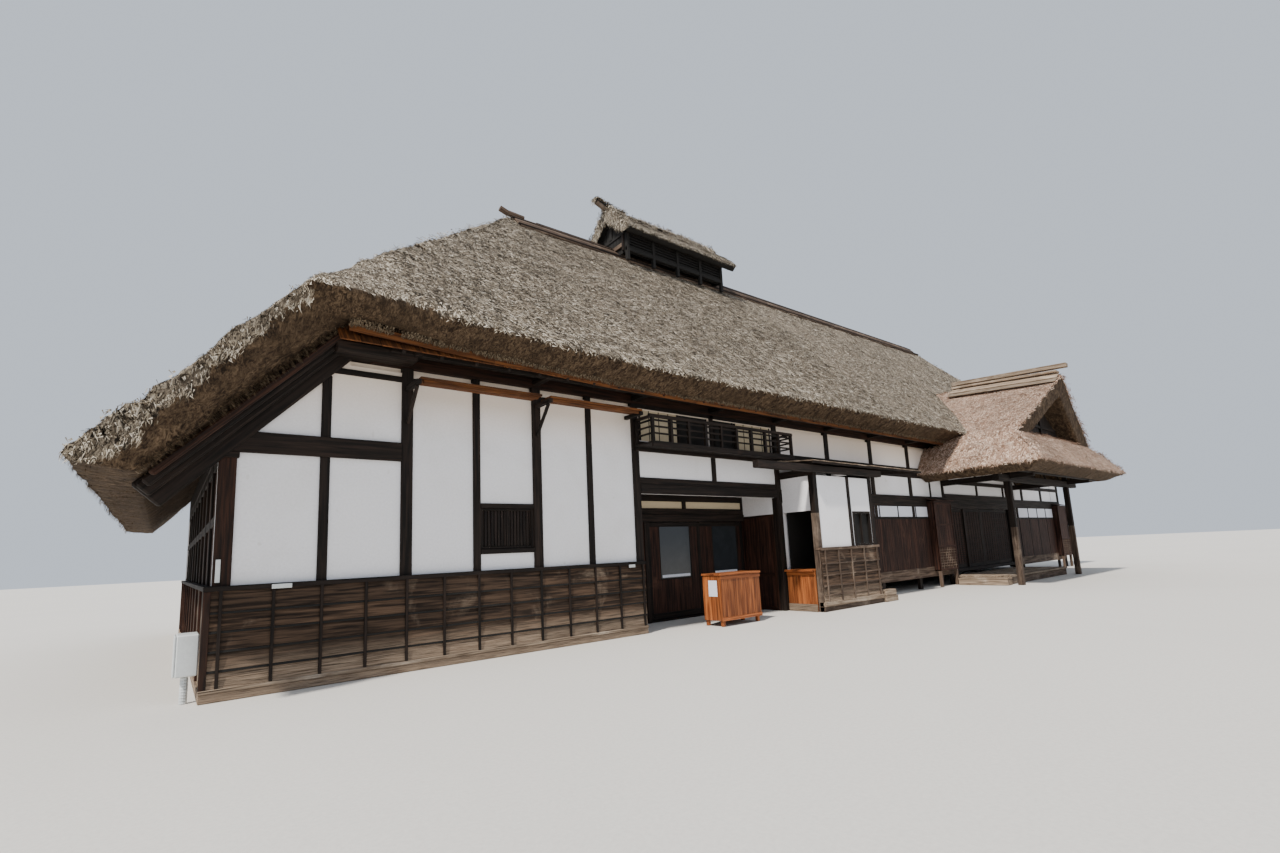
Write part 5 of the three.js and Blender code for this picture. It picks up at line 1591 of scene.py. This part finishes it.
@dataclass
class FrontEast:
    """The front from the booth to the right end."""

    grand_left: float = 18 * BAY
    grand_right: float = 23 * BAY
    band: tuple[float, float] = (23.5, 27.25)

    def build(self) -> None:
        """Builds the frames, windows, boards, shutter boxes and doors."""
        self._middle()
        self._head()
        self._east()
        self._box("shutter_box_left", 51)
        self._box("shutter_box_right", 52)
        dress(("front_wall_middle", "door_head_wall", "front_wall_east"), Finish.PLASTER)
        dress(("band_panes_middle", "band_panes_east"), Finish.PAPER)
        for i in range(1, 5):
            SlidingLeaf(f"lattice_door_{i}", f"lattice_leaf_{i}", LeafStyle.LATTICE, 60 + i).build()
        self._floor()

    @staticmethod
    def _boards(wood: Carpentry, x0: float, x1: float, z0: float, z1: float, count: int, slot: int) -> None:
        """Upright boards in front of the posts."""
        wood.row(Axis.X, (x0, x1, -0.010, 0.012, z0, z1), count, 0.0025, slot=slot)

    @staticmethod
    def _panes(wood: Carpentry, edges: list[float], z0: float, z1: float, slot: int) -> None:
        """A row of pale panes between thin bars.

        Args:
            wood: carpentry of the front.
            edges: places of the upright bars.
            z0: lowest height.
            z1: highest height.
            slot: material number of the panes.
        """
        for a, b in zip(edges, edges[1:]):
            wood.bar(a + 0.012, b - 0.012, 0.004, 0.010, z0 + 0.015, z1 - 0.015, Axis.X, 0.001, slot)
        for x in edges:
            wood.bar(x - 0.014, x + 0.014, -0.012, 0.014, z0, z1, Axis.Z, 0.003)
        wood.bar(edges[0], edges[-1], -0.010, 0.014, z0, z0 + 0.020)
        wood.bar(edges[0], edges[-1], -0.010, 0.014, z1 - 0.020, z1)

    def _middle(self) -> None:
        """Frame, window band and boards between booth and doors."""
        wood = Carpentry(53)
        start, end = 10 * BAY, self.grand_left + 0.06
        posts = [10 * BAY, 12 * BAY, 14 * BAY, 16 * BAY]
        wood.lattice(uprights(posts, POST, 0, EAVE_LOW), -0.002, TIMBER_BACK)
        wood.bars([
            (end - 0.12, end, -0.002, TIMBER_BACK, 0, EAVE_LOW), (start, end, 0.0, TIMBER_BACK, *UPPER_RAIL),
            (start, end, -0.012, TIMBER_BACK, *HEAD_RAIL),
        ])
        wood.bar(12 * BAY, end, -0.02, TIMBER_BACK, 0.30, 0.57, Axis.X, 0.008, 4)
        wood.bar(12 * BAY, end, -0.012, TIMBER_BACK, 1.92, 1.965)
        wood.bar(16.90, 16.96, 0.0, TIMBER_BACK, 2.572, 3.09)
        self._boards(wood, 12 * BAY + POST / 2, end - 0.12, 0.57, 1.92, 33, 1)
        self._boards(wood, 12 * BAY + POST / 2, 13.65, 1.965, HEAD_RAIL[0], 10, 1)
        self._boards(wood, 16.80, end - 0.12, 1.965, HEAD_RAIL[0], 5, 1)
        self._panes(wood, [13.673, 13.937, 14.896, 15.876, 16.783], 1.965, 2.290, 3)
        wood.place("front_timbers_middle", [Finish.TIMBER, Finish.BOARD, Finish.PALE, Finish.PAPER,
                                            Finish.GREYED], replaces=("front_frame_middle",))

    def _head(self) -> None:
        """Beam and transom over the lattice doors."""
        wood = Carpentry(54)
        x0, x1 = self.grand_left + 0.06, self.grand_right - 0.06
        wood.bars([
            (x0, x1, 0.0, TIMBER_BACK, 2.24, 2.36), (x0, x1, -0.014, TIMBER_BACK, 2.36, 2.682),
            (x0, x1, 0.0, TIMBER_BACK, 3.0, 3.12), (x0, x1, 0.0, TIMBER_BACK, EAVE_LOW - 0.07, EAVE_LOW),
        ])
        for x in (20.5 * BAY, 22.38):
            wood.bar(x - 0.05, x + 0.05, 0.0, TIMBER_BACK, 2.682, 3.0)
        wood.bar(20.5 * BAY - STUD / 2, 20.5 * BAY + STUD / 2, 0.0, TIMBER_BACK, 3.12, EAVE_LOW - 0.07)
        wood.place("door_head_timbers", [Finish.TIMBER], replaces=("door_head_frame",))

    def _east(self) -> None:
        """Frame, window band and boards from the doors to the right end."""
        wood = Carpentry(55)
        x0, x1 = self.grand_right, HOUSE_END
        left, right = self.band
        wood.bar(x0 - 0.06, x0 + 0.06, -0.002, TIMBER_BACK, 0, EAVE_LOW)
        wood.bar(x1 - CORNER, x1 + CORNER, -0.002, TIMBER_BACK, 0, EAVE_LOW)
        wood.lattice(uprights([24.5 * BAY, 26.5 * BAY], POST, 2.602, EAVE_LOW), -0.002, TIMBER_BACK)
        wood.bars([
            (left - 0.08, left, 0.0, TIMBER_BACK, 0, 2.325),
            (right, right + 0.08, 0.0, TIMBER_BACK, 0, 2.325),
            (x0, x1, 0.0, TIMBER_BACK, EAVE_LOW - 0.07, EAVE_LOW), (x0, x1, 0.0, TIMBER_BACK, 3.0, 3.12),
            (x0, x1, -0.014, TIMBER_BACK, 2.325, 2.602),
        ])
        wood.bar(x0, x1, -0.02, TIMBER_BACK, 0.30, 0.57, Axis.X, 0.008, 4)
        wood.bar(x0, x1, -0.012, TIMBER_BACK, 1.90, 1.95)
        self._boards(wood, x0 + 0.06, left - 0.08, 0.57, 1.90, 5, 1)
        edges = [23.5, 24.49, 25.41, 26.335, 27.25]
        for a, b in zip(edges, edges[1:]):
            self._boards(wood, a + 0.02, b - 0.02, 0.57, 1.90, 6, 1)
            wood.bar(a, a + 0.03, -0.014, 0.03, 0.57, 1.90)
        self._boards(wood, right + 0.08, x1 - CORNER, 0.57, 1.90, 5, 1)
        self._panes(wood, edges, 1.95, 2.325, 3)
        wood.place("front_timbers_east", [Finish.TIMBER, Finish.BOARD, Finish.PALE, Finish.PAPER,
                                          Finish.GREYED], replaces=("front_frame_east",))

    def _box(self, node: str, seed: int) -> None:
        """A box that holds sliding shutters, boarded above and latticed below.

        Args:
            node: the solid.
            seed: seed of its grain.
        """
        wood = Carpentry(seed)
        low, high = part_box(node)
        x0, x1, y0 = low.x + 0.05, high.x - 0.05, -0.20
        wood.row(Axis.X, (x0, x1, y0 + 0.008, y0 + 0.022, 0.47, 2.38), 6, 0.002, bevel=0.002)
        for x in (x0, x1 - 0.03):
            wood.bar(x, x + 0.03, y0, 0.0, 0.45, 2.38, Axis.Z, 0.004)
            wood.bar(x, x + 0.05, y0 - 0.006, y0 + 0.03, 0.45, 2.38, Axis.Z, 0.004)
        for z in (0.45, 1.10, 1.72, 2.33):
            wood.bar(x0, x1, y0 - 0.008, y0 + 0.012, z, z + 0.05, Axis.X, 0.004)
        wood.lattice(uprights(evenly(x0, x1, 11)[1:-1], 0.014, 0.5, 1.10), y0 - 0.004, y0 + 0.006, 1, 0.002)
        for z in evenly(0.575, 1.025, 7):
            wood.bar(x0 + 0.05, x1 - 0.05, y0 - 0.008, y0, z - 0.007, z + 0.007, Axis.X, 0.002, 1)
        wood.bar(x0, x1, y0, 0.0, 0.45, 0.48, Axis.X, 0.004)
        for x in (x0 + 0.01, x1 - 0.09):
            wood.bar(x, x + 0.08, y0 + 0.01, y0 + 0.09, 0.0, 0.46, Axis.Z, 0.005, 1)
        for i in range(2):
            wood.strut(((x0 + x1) / 2, y0 - 0.09 + i * 0.14, 2.44 + i * 0.03),
                       ((x0 + x1) / 2, y0 + 0.06 + i * 0.14, 2.47 + i * 0.045), x1 - x0 + 0.1, 0.02, 0.004)
        wood.bar(x0 - 0.02, x1 + 0.02, y0 - 0.02, 0.0, 2.38, 2.43, Axis.X, 0.004)
        wood.place(node + "_joinery", [Finish.BOARD, Finish.GREYED], replaces=(node,), slot="board")

    def _floor(self) -> None:
        """Boards of the raised floor behind the doors, with the threshold."""
        low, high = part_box("raised_floor")
        wood = Carpentry(56)
        wood.row(Axis.X, (low.x, high.x, 0.15, high.y, low.z, high.z), 22, 0.003, Axis.Y, 0.004)
        wood.bar(self.grand_left + 0.06, self.grand_right - 0.06, 0.005, 0.148, low.z, high.z, Axis.X,
                 0.006, 1)
        wood.place("raised_floor_boards", [Finish.BOARD, Finish.TIMBER], replaces=("raised_floor",),
                   slot="board")


@dataclass
class Porch:
    """The thatched porch over the lattice doors."""

    x: float = 20.5 * BAY
    post_left: float = 18 * BAY
    post_right: float = 23 * BAY
    post_y: float = -1.78
    width: float = 0.145

    def build(self) -> None:
        """Builds the frame, deck, gable and ridge."""
        ThatchMass("porch_roof_thatch", ("porch_thatch",), depth=7, fill=0.9, rough=0.016,
                   finishes=(Finish.THATCH_PORCH, Finish.THATCH_CUT), straw=Finish.STRAW_PORCH,
                   bunches=(8300,), rim=1800, bristles=1500, seed=5).build()
        self._frame()
        self._deck()
        self._gable()
        self._ridge()

    def _frame(self) -> None:
        """Posts, ties, beams and rafters."""
        wood = Carpentry(71)
        x, low, high, half = self.x, 2.83, 3.02, self.width / 2
        y = self.post_y
        wood.bar(x - 3.3, x + 3.3, y - 0.08, y + 0.08, low, high, Axis.X, 0.012)
        wood.bar(x - 3.3, x + 3.3, -2.44, -2.32, high - 0.02, high + 0.075, Axis.X, 0.01)
        wood.bar(x - 2.6, x + 2.6, y - 0.06, y + 0.06, high + 0.24, high + 0.36, Axis.X, 0.01)
        for px in (self.post_left, self.post_right):
            wood.bar(px - half, px + half, y - half, y + half, 1.57, low, Axis.Z, 0.010)
            wood.bar(px - half, px + half, y - half, y + half, 0.0, 1.57, Axis.Z, 0.010, 1)
            wood.bar(px - 0.065, px + 0.065, -2.44, 0.0, high - 0.11, high + 0.05, Axis.Y, 0.010)
            wood.bar(px - 0.06, px + 0.06, y - 0.06, y + 0.06, high, high + 0.3)
        for rx in evenly(x - 3.2, x + 3.2, 17):
            wood.strut((rx, -2.50, 3.06), (rx, -1.99, 3.49), 0.05, 0.05, 0.006)
        for ry in evenly(-2.1, -0.3, 6):
            for side in (-1, 1):
                wood.strut((x + side * 3.45, ry, 3.02), (x + side * 3.03, ry, 3.49), 0.05, 0.05, 0.006)
        wood.place("porch_timbers", [Finish.TIMBER, Finish.GREYED], replaces=("porch_frame",))

    def _deck(self) -> None:
        """Planks of the low deck and the step in front of it."""
        low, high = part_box("porch_deck")
        wood = Carpentry(72)
        wood.row(Axis.Y, (low.x, high.x, low.y, high.y, high.z - 0.05, high.z), 6, 0.004, Axis.X, 0.006)
        wood.bar(low.x + 0.02, high.x - 0.02, low.y + 0.03, high.y, 0.0, high.z - 0.05, Axis.X, 0.01, 1)
        wood.place("deck_planks", [Finish.PALE, Finish.GREYED], replaces=("porch_deck",), slot="pale_wood")
        side = Carpentry(75)
        side.row(Axis.X, (17.42, 17.78, -1.55, -0.25, 0.16, 0.20), 3, 0.005, Axis.Y, 0.006)
        side.bar(17.43, 17.77, -1.54, -0.26, 0.0, 0.16, Axis.Y, 0.008)
        side.place("side_step", [Finish.PALE], slot="pale_wood")

    def _gable(self) -> None:
        """Dark boarded gable behind the mouth of the roof."""
        low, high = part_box("porch_gable_board")
        wood = Carpentry(73)
        wide = high.x - low.x
        count = 16
        for i in range(count):
            x = low.x + (i + 0.5) * wide / count
            top = min(low.z + (high.z - low.z) * (1 - abs(x - self.x) / (wide / 2)) + 0.05, high.z)
            if top - low.z > 0.08:
                half = wide / count / 2 - 0.001
                wood.bar(x - half, x + half, low.y, high.y, low.z, top, Axis.Z, 0.003)
        wood.bar(self.x - 1.3, self.x + 1.3, low.y - 0.05, low.y, low.z + 0.38, low.z + 0.46)
        wood.bar(self.x - 0.04, self.x + 0.04, low.y - 0.05, low.y, low.z + 0.02, high.z - 0.08)
        wood.place("gable_boards", [Finish.TIMBER], replaces=("porch_gable_board",))

    def _ridge(self) -> None:
        """Ridge boards over bark, with a pointed front end."""
        wood = Carpentry(74)
        front, end = -2.74, 0.33
        rise = 0.08

        def ridge(y: float) -> float:
            """Height of the thatch's ridge at y."""
            return 6.03 + (y + 2.75) * rise

        for side in (-1, 1):
            for inner, outer, lift in ((0.10, 0.34, 0.085), (0.26, 0.50, 0.05)):
                middle = (inner + outer) / 2
                fall = 0.594 * middle
                start = (self.x + side * middle, front + 0.02, ridge(front) - fall + lift)
                stop = (self.x + side * middle, end, ridge(end) - fall + lift)
                up = Vector((side * 0.51, 0, 0.86))
                wood.strut(start, stop, outer - inner + 0.06, 0.028, 0.005, 0, up)
        wood.strut((self.x, front - 0.20, 6.30), (self.x, end, 6.52), 0.20, 0.13, 0.012)
        wood.strut((self.x, front + 0.05, 6.16), (self.x, end, 6.38), 0.30, 0.07, 0.01)
        wood.place("porch_ridge_boards", [Finish.PALE], replaces=("porch_ridge",), slot="pale_wood")


@dataclass
class Roof:
    """The main thatch with its ridge, eaves and smoke vent."""

    ridge_y: float = HOUSE_DEPTH / 2
    start: float = 6.0
    end: float = 27.0

    def ridge_z(self, x: float) -> float:
        """Height of the thatch's ridge at x."""
        return 10.15 + (x - self.start) * 0.0155

    def build(self) -> None:
        """Builds the roof's pieces."""
        ThatchMass("main_thatch", ("thatch_front", "thatch_back", "thatch_left", "thatch_right"), depth=8,
                   fill=0.95, rough=0.028, finishes=(Finish.THATCH, Finish.THATCH_CUT), straw=Finish.STRAW,
                   bunches=(13000, 9500, 3500, 5000), rim=4200, bristles=4500, seed=2, roll=0.27).build()
        # The vent roof's underside and cut faces get painted shade.
        ThatchMass("vent_roof_thatch", ("vent_thatch",), depth=6, fill=0.9, rough=0.020,
                   finishes=(Finish.THATCH, Finish.PAINTED_SHADE), straw=Finish.STRAW, bunches=(2600,), rim=1100,
                   bristles=100, seed=3, roll=0.0, open_gable=True, hang=0.24).build()
        self._ridge()
        self._eaves()
        self._vent()
        # Rafters and the back eave frame get painted shade, for the dark under the eaves.
        dress(("rafters_front", "rafters_back", "eave_frame_back"), Finish.PAINTED_SHADE)

    def _ridge(self) -> None:
        """Bark over the ridge, held by poles, with a log at its left end."""
        wood = Carpentry(81)
        y = self.ridge_y
        length = self.end - self.start - 0.14
        count = 26
        step = length / count
        for side in (-1, 1):
            for i in range(count):
                x0 = self.start + 0.07 + i * step
                fall = 0.98 if i < 3 else 1.0
                for inner, outer, lift in ((0.0, 0.30, 0.05), (0.24, 0.52, 0.03)):
                    middle = (inner + outer) / 2
                    start = (x0, y + side * middle, self.ridge_z(x0) - middle * fall + lift)
                    stop = (x0 + step - 0.004, y + side * middle,
                            self.ridge_z(x0 + step) - middle * fall + lift)
                    wood.strut(start, stop, (outer - inner) * 1.4, 0.05, 0.01, 0,
                               Vector((0, side * 0.7, 0.71)))
            for reach, radius in ((0.50, 0.032), (0.16, 0.028)):
                wood.pole((self.start + 0.02, y + side * reach, self.ridge_z(self.start) - reach + 0.085),
                          (self.end - 0.05, y + side * reach, self.ridge_z(self.end) - reach * 1.02 + 0.085),
                          radius, 6, 1, 1.0)
        top = self.ridge_z(self.start) + 0.095
        wood.pole((self.start - 0.25, y, top + 0.06), (self.start - 0.02, y, top - 0.01), 0.075, 10, 0, 1.0)
        wood.pole((self.start - 0.05, y, top), (self.start + 0.42, y, top - 0.01), 0.075, 10, 0)
        wood.pole((self.start + 0.8, y, self.ridge_z(self.start) + 0.07),
                  (self.end - 0.06, y, self.ridge_z(self.end) + 0.03), 0.04, 6, 1, 1.0)
        wood.place("ridge_bark", [Finish.GREYED, Finish.TIMBER], replaces=("ridge_cap",), slot="pale_wood")

    def _eaves(self) -> None:
        """Eave beam, its arms, the boards under the overhang and the ragged straw along its inner edge."""
        wood = Carpentry(82)
        end = HOUSE_END + CORNER
        joints = [1.62, 5.9, 9.85, 13.8, 17.7, 21.7, 25.6, end]
        for a, b in zip(joints, joints[1:]):
            wood.bar(a, b - 0.003, -0.43, -0.33, EAVE_LOW + 0.045, 4.16, Axis.X, 0.012)
        wood.bar(1.5, end, 0.0, 0.14, EAVE_LOW, 4.506, Axis.X, 0.01, 1)
        for i in range(1, 14):
            x = 2 * i * BAY
            wood.bar(x - 0.06, x + 0.06, -0.46, 0.06, EAVE_LOW + 0.04, 4.14, Axis.Y, 0.010)
        # The boards under the overhang (number 2) are brown wood with painted orange bounce light from the
        # ground.
        wide, x = 0.24, 1.0
        while x < end:
            wood.strut((x + wide / 2, -0.55, 4.075), (x + wide / 2, 0.0, 4.075 + 0.55 * 0.973),
                       wide - 0.006, 0.018, 0.003, 2)
            x += wide
        for i in range(54):
            x = 1.75 + i * 0.49
            wood.strut((x, -0.54, 4.035), (x, 0.0, 4.56), 0.05, 0.06, 0.008, 0)
        lip = [(1.10, 4.290), (3.0, 4.187), (5.0, 4.121), (6.95, 4.10), (12.0, 4.10), (17.0, 4.10),
               (28.2, 4.10)]
        # The edge board at the lip (number 2) also carries painted orange bounce light.
        for (a, za), (b, zb) in zip(lip, lip[1:]):
            wood.strut((a, -0.535, za - 0.035), (b, -0.535, zb - 0.035), 0.022, 0.11, 0.004, 2)
        wood.place("eave_timbers", [Finish.TIMBER, Finish.RED_TIMBER, Finish.BOUNCE_LIT_SOFFIT],
                   replaces=("eave_frame_front",))
        edge = [((a, -0.585, za + 0.012), (b, -0.585, zb + 0.012)) for (a, za), (b, zb) in zip(lip, lip[1:])]
        edge += [((-0.76, -0.56, 2.37), (0.2, -0.44, 3.38)), ((0.2, -0.44, 3.38), (1.148, -0.32, 4.38))]
        ragged("eave_straw_edge", edge, 62, 0.042, 85)

    def _vent(self) -> None:
        """Frame, rails and louvres of the smoke vent, with the logs over it."""
        wood = Carpentry(83)
        low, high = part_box("vent_frame")
        y, half, top = self.ridge_y, 0.72, 10.54
        x0, x1 = low.x, high.x
        # Posts, rails, louvres and end bars get painted shade, as the vent's body lies in shade under its
        # roof.
        for side in (-1, 1):
            py = y + side * half
            for x in evenly(x0 + 0.05, x1 - 0.05, 5):
                wood.bar(x - 0.05, x + 0.05, py - 0.05, py + 0.05, 9.62, top)
            wood.bar(x0, x1, py - 0.06, py + 0.06, top - 0.1, top - 0.01)
            wood.bar(x0, x1, py - 0.04, py + 0.04, 9.9, 10.02)
            for z in evenly(10.07, 10.41, 5):
                wood.strut((x0 + 0.1, py, z), (x1 - 0.1, py, z), 0.014, 0.075, 0.002, 0,
                           Vector((0, -side * 0.5, 0.86)))
            wood.bar(x0 + 0.1, x1 - 0.1, y + side * (half - 0.10) - 0.01, y + side * (half - 0.10) + 0.01,
                     9.9, top, Axis.X, 0.003)
            wood.pole((x0 - 0.1, y + side * 0.98, 10.52), (x1 + 0.3, y + side * 0.98, 10.52), 0.04, 6)
        for x in (x0, x1 - 0.1):
            wood.bar(x, x + 0.1, y - half, y + half, top - 0.1, top - 0.01, Axis.Y)
            wood.bar(x, x + 0.1, y - 0.06, y + 0.06, top - 0.05, 11.16)
            for py in evenly(y - half + 0.08, y + half - 0.08, 9):
                peak = min(11.1, top + (half - abs(py - y)) * 0.72)
                wood.bar(x + 0.03, x + 0.06, py - 0.075, py + 0.075, 9.9, peak, Axis.Z, 0.003)
        for start, stop in (((9.85, 11.52), (9.2, 11.45)), ((9.2, 11.45), (8.80, 11.59))):
            wood.pole((start[0], y, start[1]), (stop[0], y, stop[1]), 0.075, 10, 2, 1.0)
        wood.bar(x0 - 0.02, x0 + 0.01, y - 0.55, y + 0.10, 10.08, 10.20, Axis.Y, 0.004, 2)
        wood.bar(x0 - 0.02, x0 + 0.01, y - 0.62, y - 0.54, 9.95, 10.45, Axis.Z, 0.004, 1)
        wood.place("vent_timbers", [Finish.PAINTED_SHADE, Finish.TIMBER, Finish.GREYED], replaces=("vent_frame",))


@dataclass
class Ends:
    """Left, right and back walls, floors and the meter box."""

    def build(self) -> None:
        """Builds the plain sides."""
        self._left()
        self._right()
        self._back()
        self._meter()
        dress(("right_wall", "back_wall"), Finish.PLASTER)
        dress(("back_window_panes",), Finish.PAPER)
        # The upper floor gets painted shade.
        dress(("upper_floor",), Finish.PAINTED_SHADE)

    def _left(self) -> None:
        """Upright boards between posts under the low roof."""
        wood = Carpentry(91)
        y0, y1, top = 0.14, HOUSE_DEPTH - 0.14, 2.732
        for i in range(1, 10):
            y = i * BAY + POST / 2
            half = 0.075 if i % 2 == 0 else 0.055
            wood.bar(-CORNER, 0.0, y - half, y + half, 0, 2.712)
        for z0, z1 in ((1.90, 2.01), (2.592, 2.732)):
            wood.bar(-CORNER + 0.004, 0.0, y0, y1, z0, z1, Axis.Y)
        wood.row(Axis.Y, (-0.055, 0.055, y0, y1, 0, top), 72, 0.002, Axis.Z, 0.002, 1)
        wood.bar(-CORNER, 0.055, y0, y1, top, 3.07, Axis.Y, 0.01)
        wood.place("left_end_boards", [Finish.TIMBER, Finish.BOARD], replaces=("left_wall",), slot="board")

    def _right(self) -> None:
        """Frame of the right end."""
        wood = Carpentry(92)
        x0, x1 = HOUSE_END, HOUSE_END + CORNER
        for i in range(2, 9, 2):
            y = i * BAY + POST / 2
            wood.bar(x0, x1, y - 0.075, y + 0.075, 0, EAVE_LOW)
        for z0, z1 in ((0.33, 0.52), HEAD_RAIL, UPPER_RAIL, (EAVE_LOW, 4.556)):
            wood.bar(x0, x1 - 0.004, 0.14, HOUSE_DEPTH - 0.14, z0, z1, Axis.Y)
        wood.row(Axis.Y, (x1 - 0.05, x1 - 0.02, 0.14, HOUSE_DEPTH - 0.14, 0.52, HEAD_RAIL[0]), 60, 0.003,
                 Axis.Z, 0.002, 1)
        wood.place("right_timbers", [Finish.TIMBER, Finish.BOARD], replaces=("right_frame",))

    def _back(self) -> None:
        """Frame and window bars of the back."""
        wood = Carpentry(93)
        y0, y1 = HOUSE_DEPTH - 0.085, HOUSE_DEPTH
        wood.lattice(uprights([2 * i * BAY for i in range(1, 14)], POST, 0, EAVE_LOW), y0, y1)
        wood.bar(-CORNER, CORNER, y0, y1, 0, 2.962)
        wood.bar(HOUSE_END - CORNER, HOUSE_END + CORNER, y0, y1, 0, EAVE_LOW)
        for x0, z0, z1 in ((-CORNER, 0, 0.13), (-CORNER, 1.152, 1.212), (-CORNER, 2.712, 2.962),
                           (1.25, EAVE_LOW - 0.07, EAVE_LOW)):
            wood.bar(x0, HOUSE_END, y0, y1 - 0.003, z0, z1, Axis.X)
        for i in (7, 9, 11, 19, 21, 23):
            x0, x1 = i * BAY - 0.8, i * BAY + 0.8
            for x in (x0, i * BAY - 0.02, x1 - 0.04):
                wood.bar(x, x + 0.04, y0 + 0.01, y0 + 0.05, 1.5, 2.2)
            for z in (1.5, 1.83, 2.16):
                wood.bar(x0, x1, y0 + 0.01, y0 + 0.05, z, z + 0.04, Axis.X)
        wood.place("back_timbers", [Finish.TIMBER], replaces=("back_frame",))

    def _meter(self) -> None:
        """Meter box with its lid and the pipe below it."""
        low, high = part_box("meter_box")
        box = Carpentry(94)
        box.bar(low.x + 0.02, high.x, low.y, high.y, low.z, high.z, Axis.Z, 0.012)
        box.bar(low.x, low.x + 0.018, low.y + 0.006, high.y - 0.006, low.z + 0.006, high.z - 0.006, Axis.Z,
                0.006)
        box.bar(low.x, low.x + 0.02, (low.y + high.y) / 2 - 0.015, (low.y + high.y) / 2 + 0.015, low.z + 0.2,
                low.z + 0.24, Axis.Y, 0.004)
        middle = (low.x + high.x) / 2
        for i in range(9):
            z = 0.012 + i * 0.03
            box.pole((middle, low.y + 0.09, z - 0.012), (middle, low.y + 0.09, z + 0.014), 0.038, 12, 0, 0.9)
        box.place("meter_cover", [Finish.METAL], replaces=("meter_box",), slot="meter_cover")


@dataclass
class Studio:
    """Floor, light and camera.

    Attributes:
        spot: place of the camera.
        turn: its yaw, pitch and roll in radians.
        focal: focal length in pixels at a width of 1280.
        centre: height of the optical axis in pixels from the top of 853.
    """

    spot: tuple[float, float, float] = (-0.5015, -7.9873, 1.3594)
    turn: tuple[float, float, float] = (0.6824, 0.1456, 0.0476)
    focal: float = 586.153
    centre: float = 466.47

    def build(self) -> None:
        """Builds the floor, the lights and the camera."""
        self._floor()
        self._light()
        self._camera()

    def _floor(self) -> None:
        """A wide pale floor."""
        bm = bmesh.new()
        bmesh.ops.create_grid(bm, x_segments=8, y_segments=8, size=160.0)
        bmesh.ops.translate(bm, verts=bm.verts, vec=(14.0, 5.0, -0.004))
        mesh = bpy.data.meshes.new("studio_floor")
        bm.to_mesh(mesh)
        bm.free()
        mesh.materials.append(PALETTE.get(Finish.FLOOR))
        floor = bpy.data.objects.new("studio_floor", mesh)
        bpy.context.scene.collection.objects.link(floor)

    def _light(self) -> None:
        """A soft sun from the front left and a pale sky."""
        world = bpy.data.worlds.new("studio")
        world.use_nodes = True
        background = world.node_tree.nodes["Background"]
        background.inputs[0].default_value = (0.80, 0.88, 1.0, 1.0)
        background.inputs[1].default_value = 0.85
        bpy.context.scene.world = world
        lamp = bpy.data.lights.new("key", "SUN")
        lamp.energy = 5.0
        lamp.angle = math.radians(2.8)
        lamp.color = (1.0, 0.95, 0.88)
        key = bpy.data.objects.new("key", lamp)
        key.rotation_euler = Vector((0.76, 0.28, -1.0)).to_track_quat("-Z", "Y").to_euler()
        bpy.context.scene.collection.objects.link(key)

    def _camera(self) -> None:
        """The camera at the photograph's view."""
        yaw, pitch, roll = self.turn
        ahead = Vector((math.sin(yaw) * math.cos(pitch), math.cos(yaw) * math.cos(pitch), math.sin(pitch)))
        right = Vector((math.cos(yaw), -math.sin(yaw), 0))
        down = ahead.cross(right)
        across = right * math.cos(roll) + down * math.sin(roll)
        below = down * math.cos(roll) - right * math.sin(roll)
        data = bpy.data.cameras.new("view")
        data.sensor_fit = "HORIZONTAL"
        data.sensor_width = 36.0
        data.lens = self.focal / 1280 * 36.0
        data.shift_y = (self.centre - 853 / 2) / 1280
        data.clip_end = 400
        camera = bpy.data.objects.new("view", data)
        turn = Matrix((across, -below, -ahead)).transposed().to_4x4()
        camera.matrix_world = Matrix.Translation(self.spot) @ turn
        bpy.context.scene.collection.objects.link(camera)
        bpy.context.scene.camera = camera


def main() -> None:
    """Builds the house in order."""
    logging.basicConfig(level=logging.INFO, format="%(message)s")
    Roof().build()
    FrontWest().build()
    Entrance().build()
    Booth().build()
    FrontEast().build()
    Porch().build()
    Ends().build()
    Studio().build()


if __name__ == "__main__":
    main()
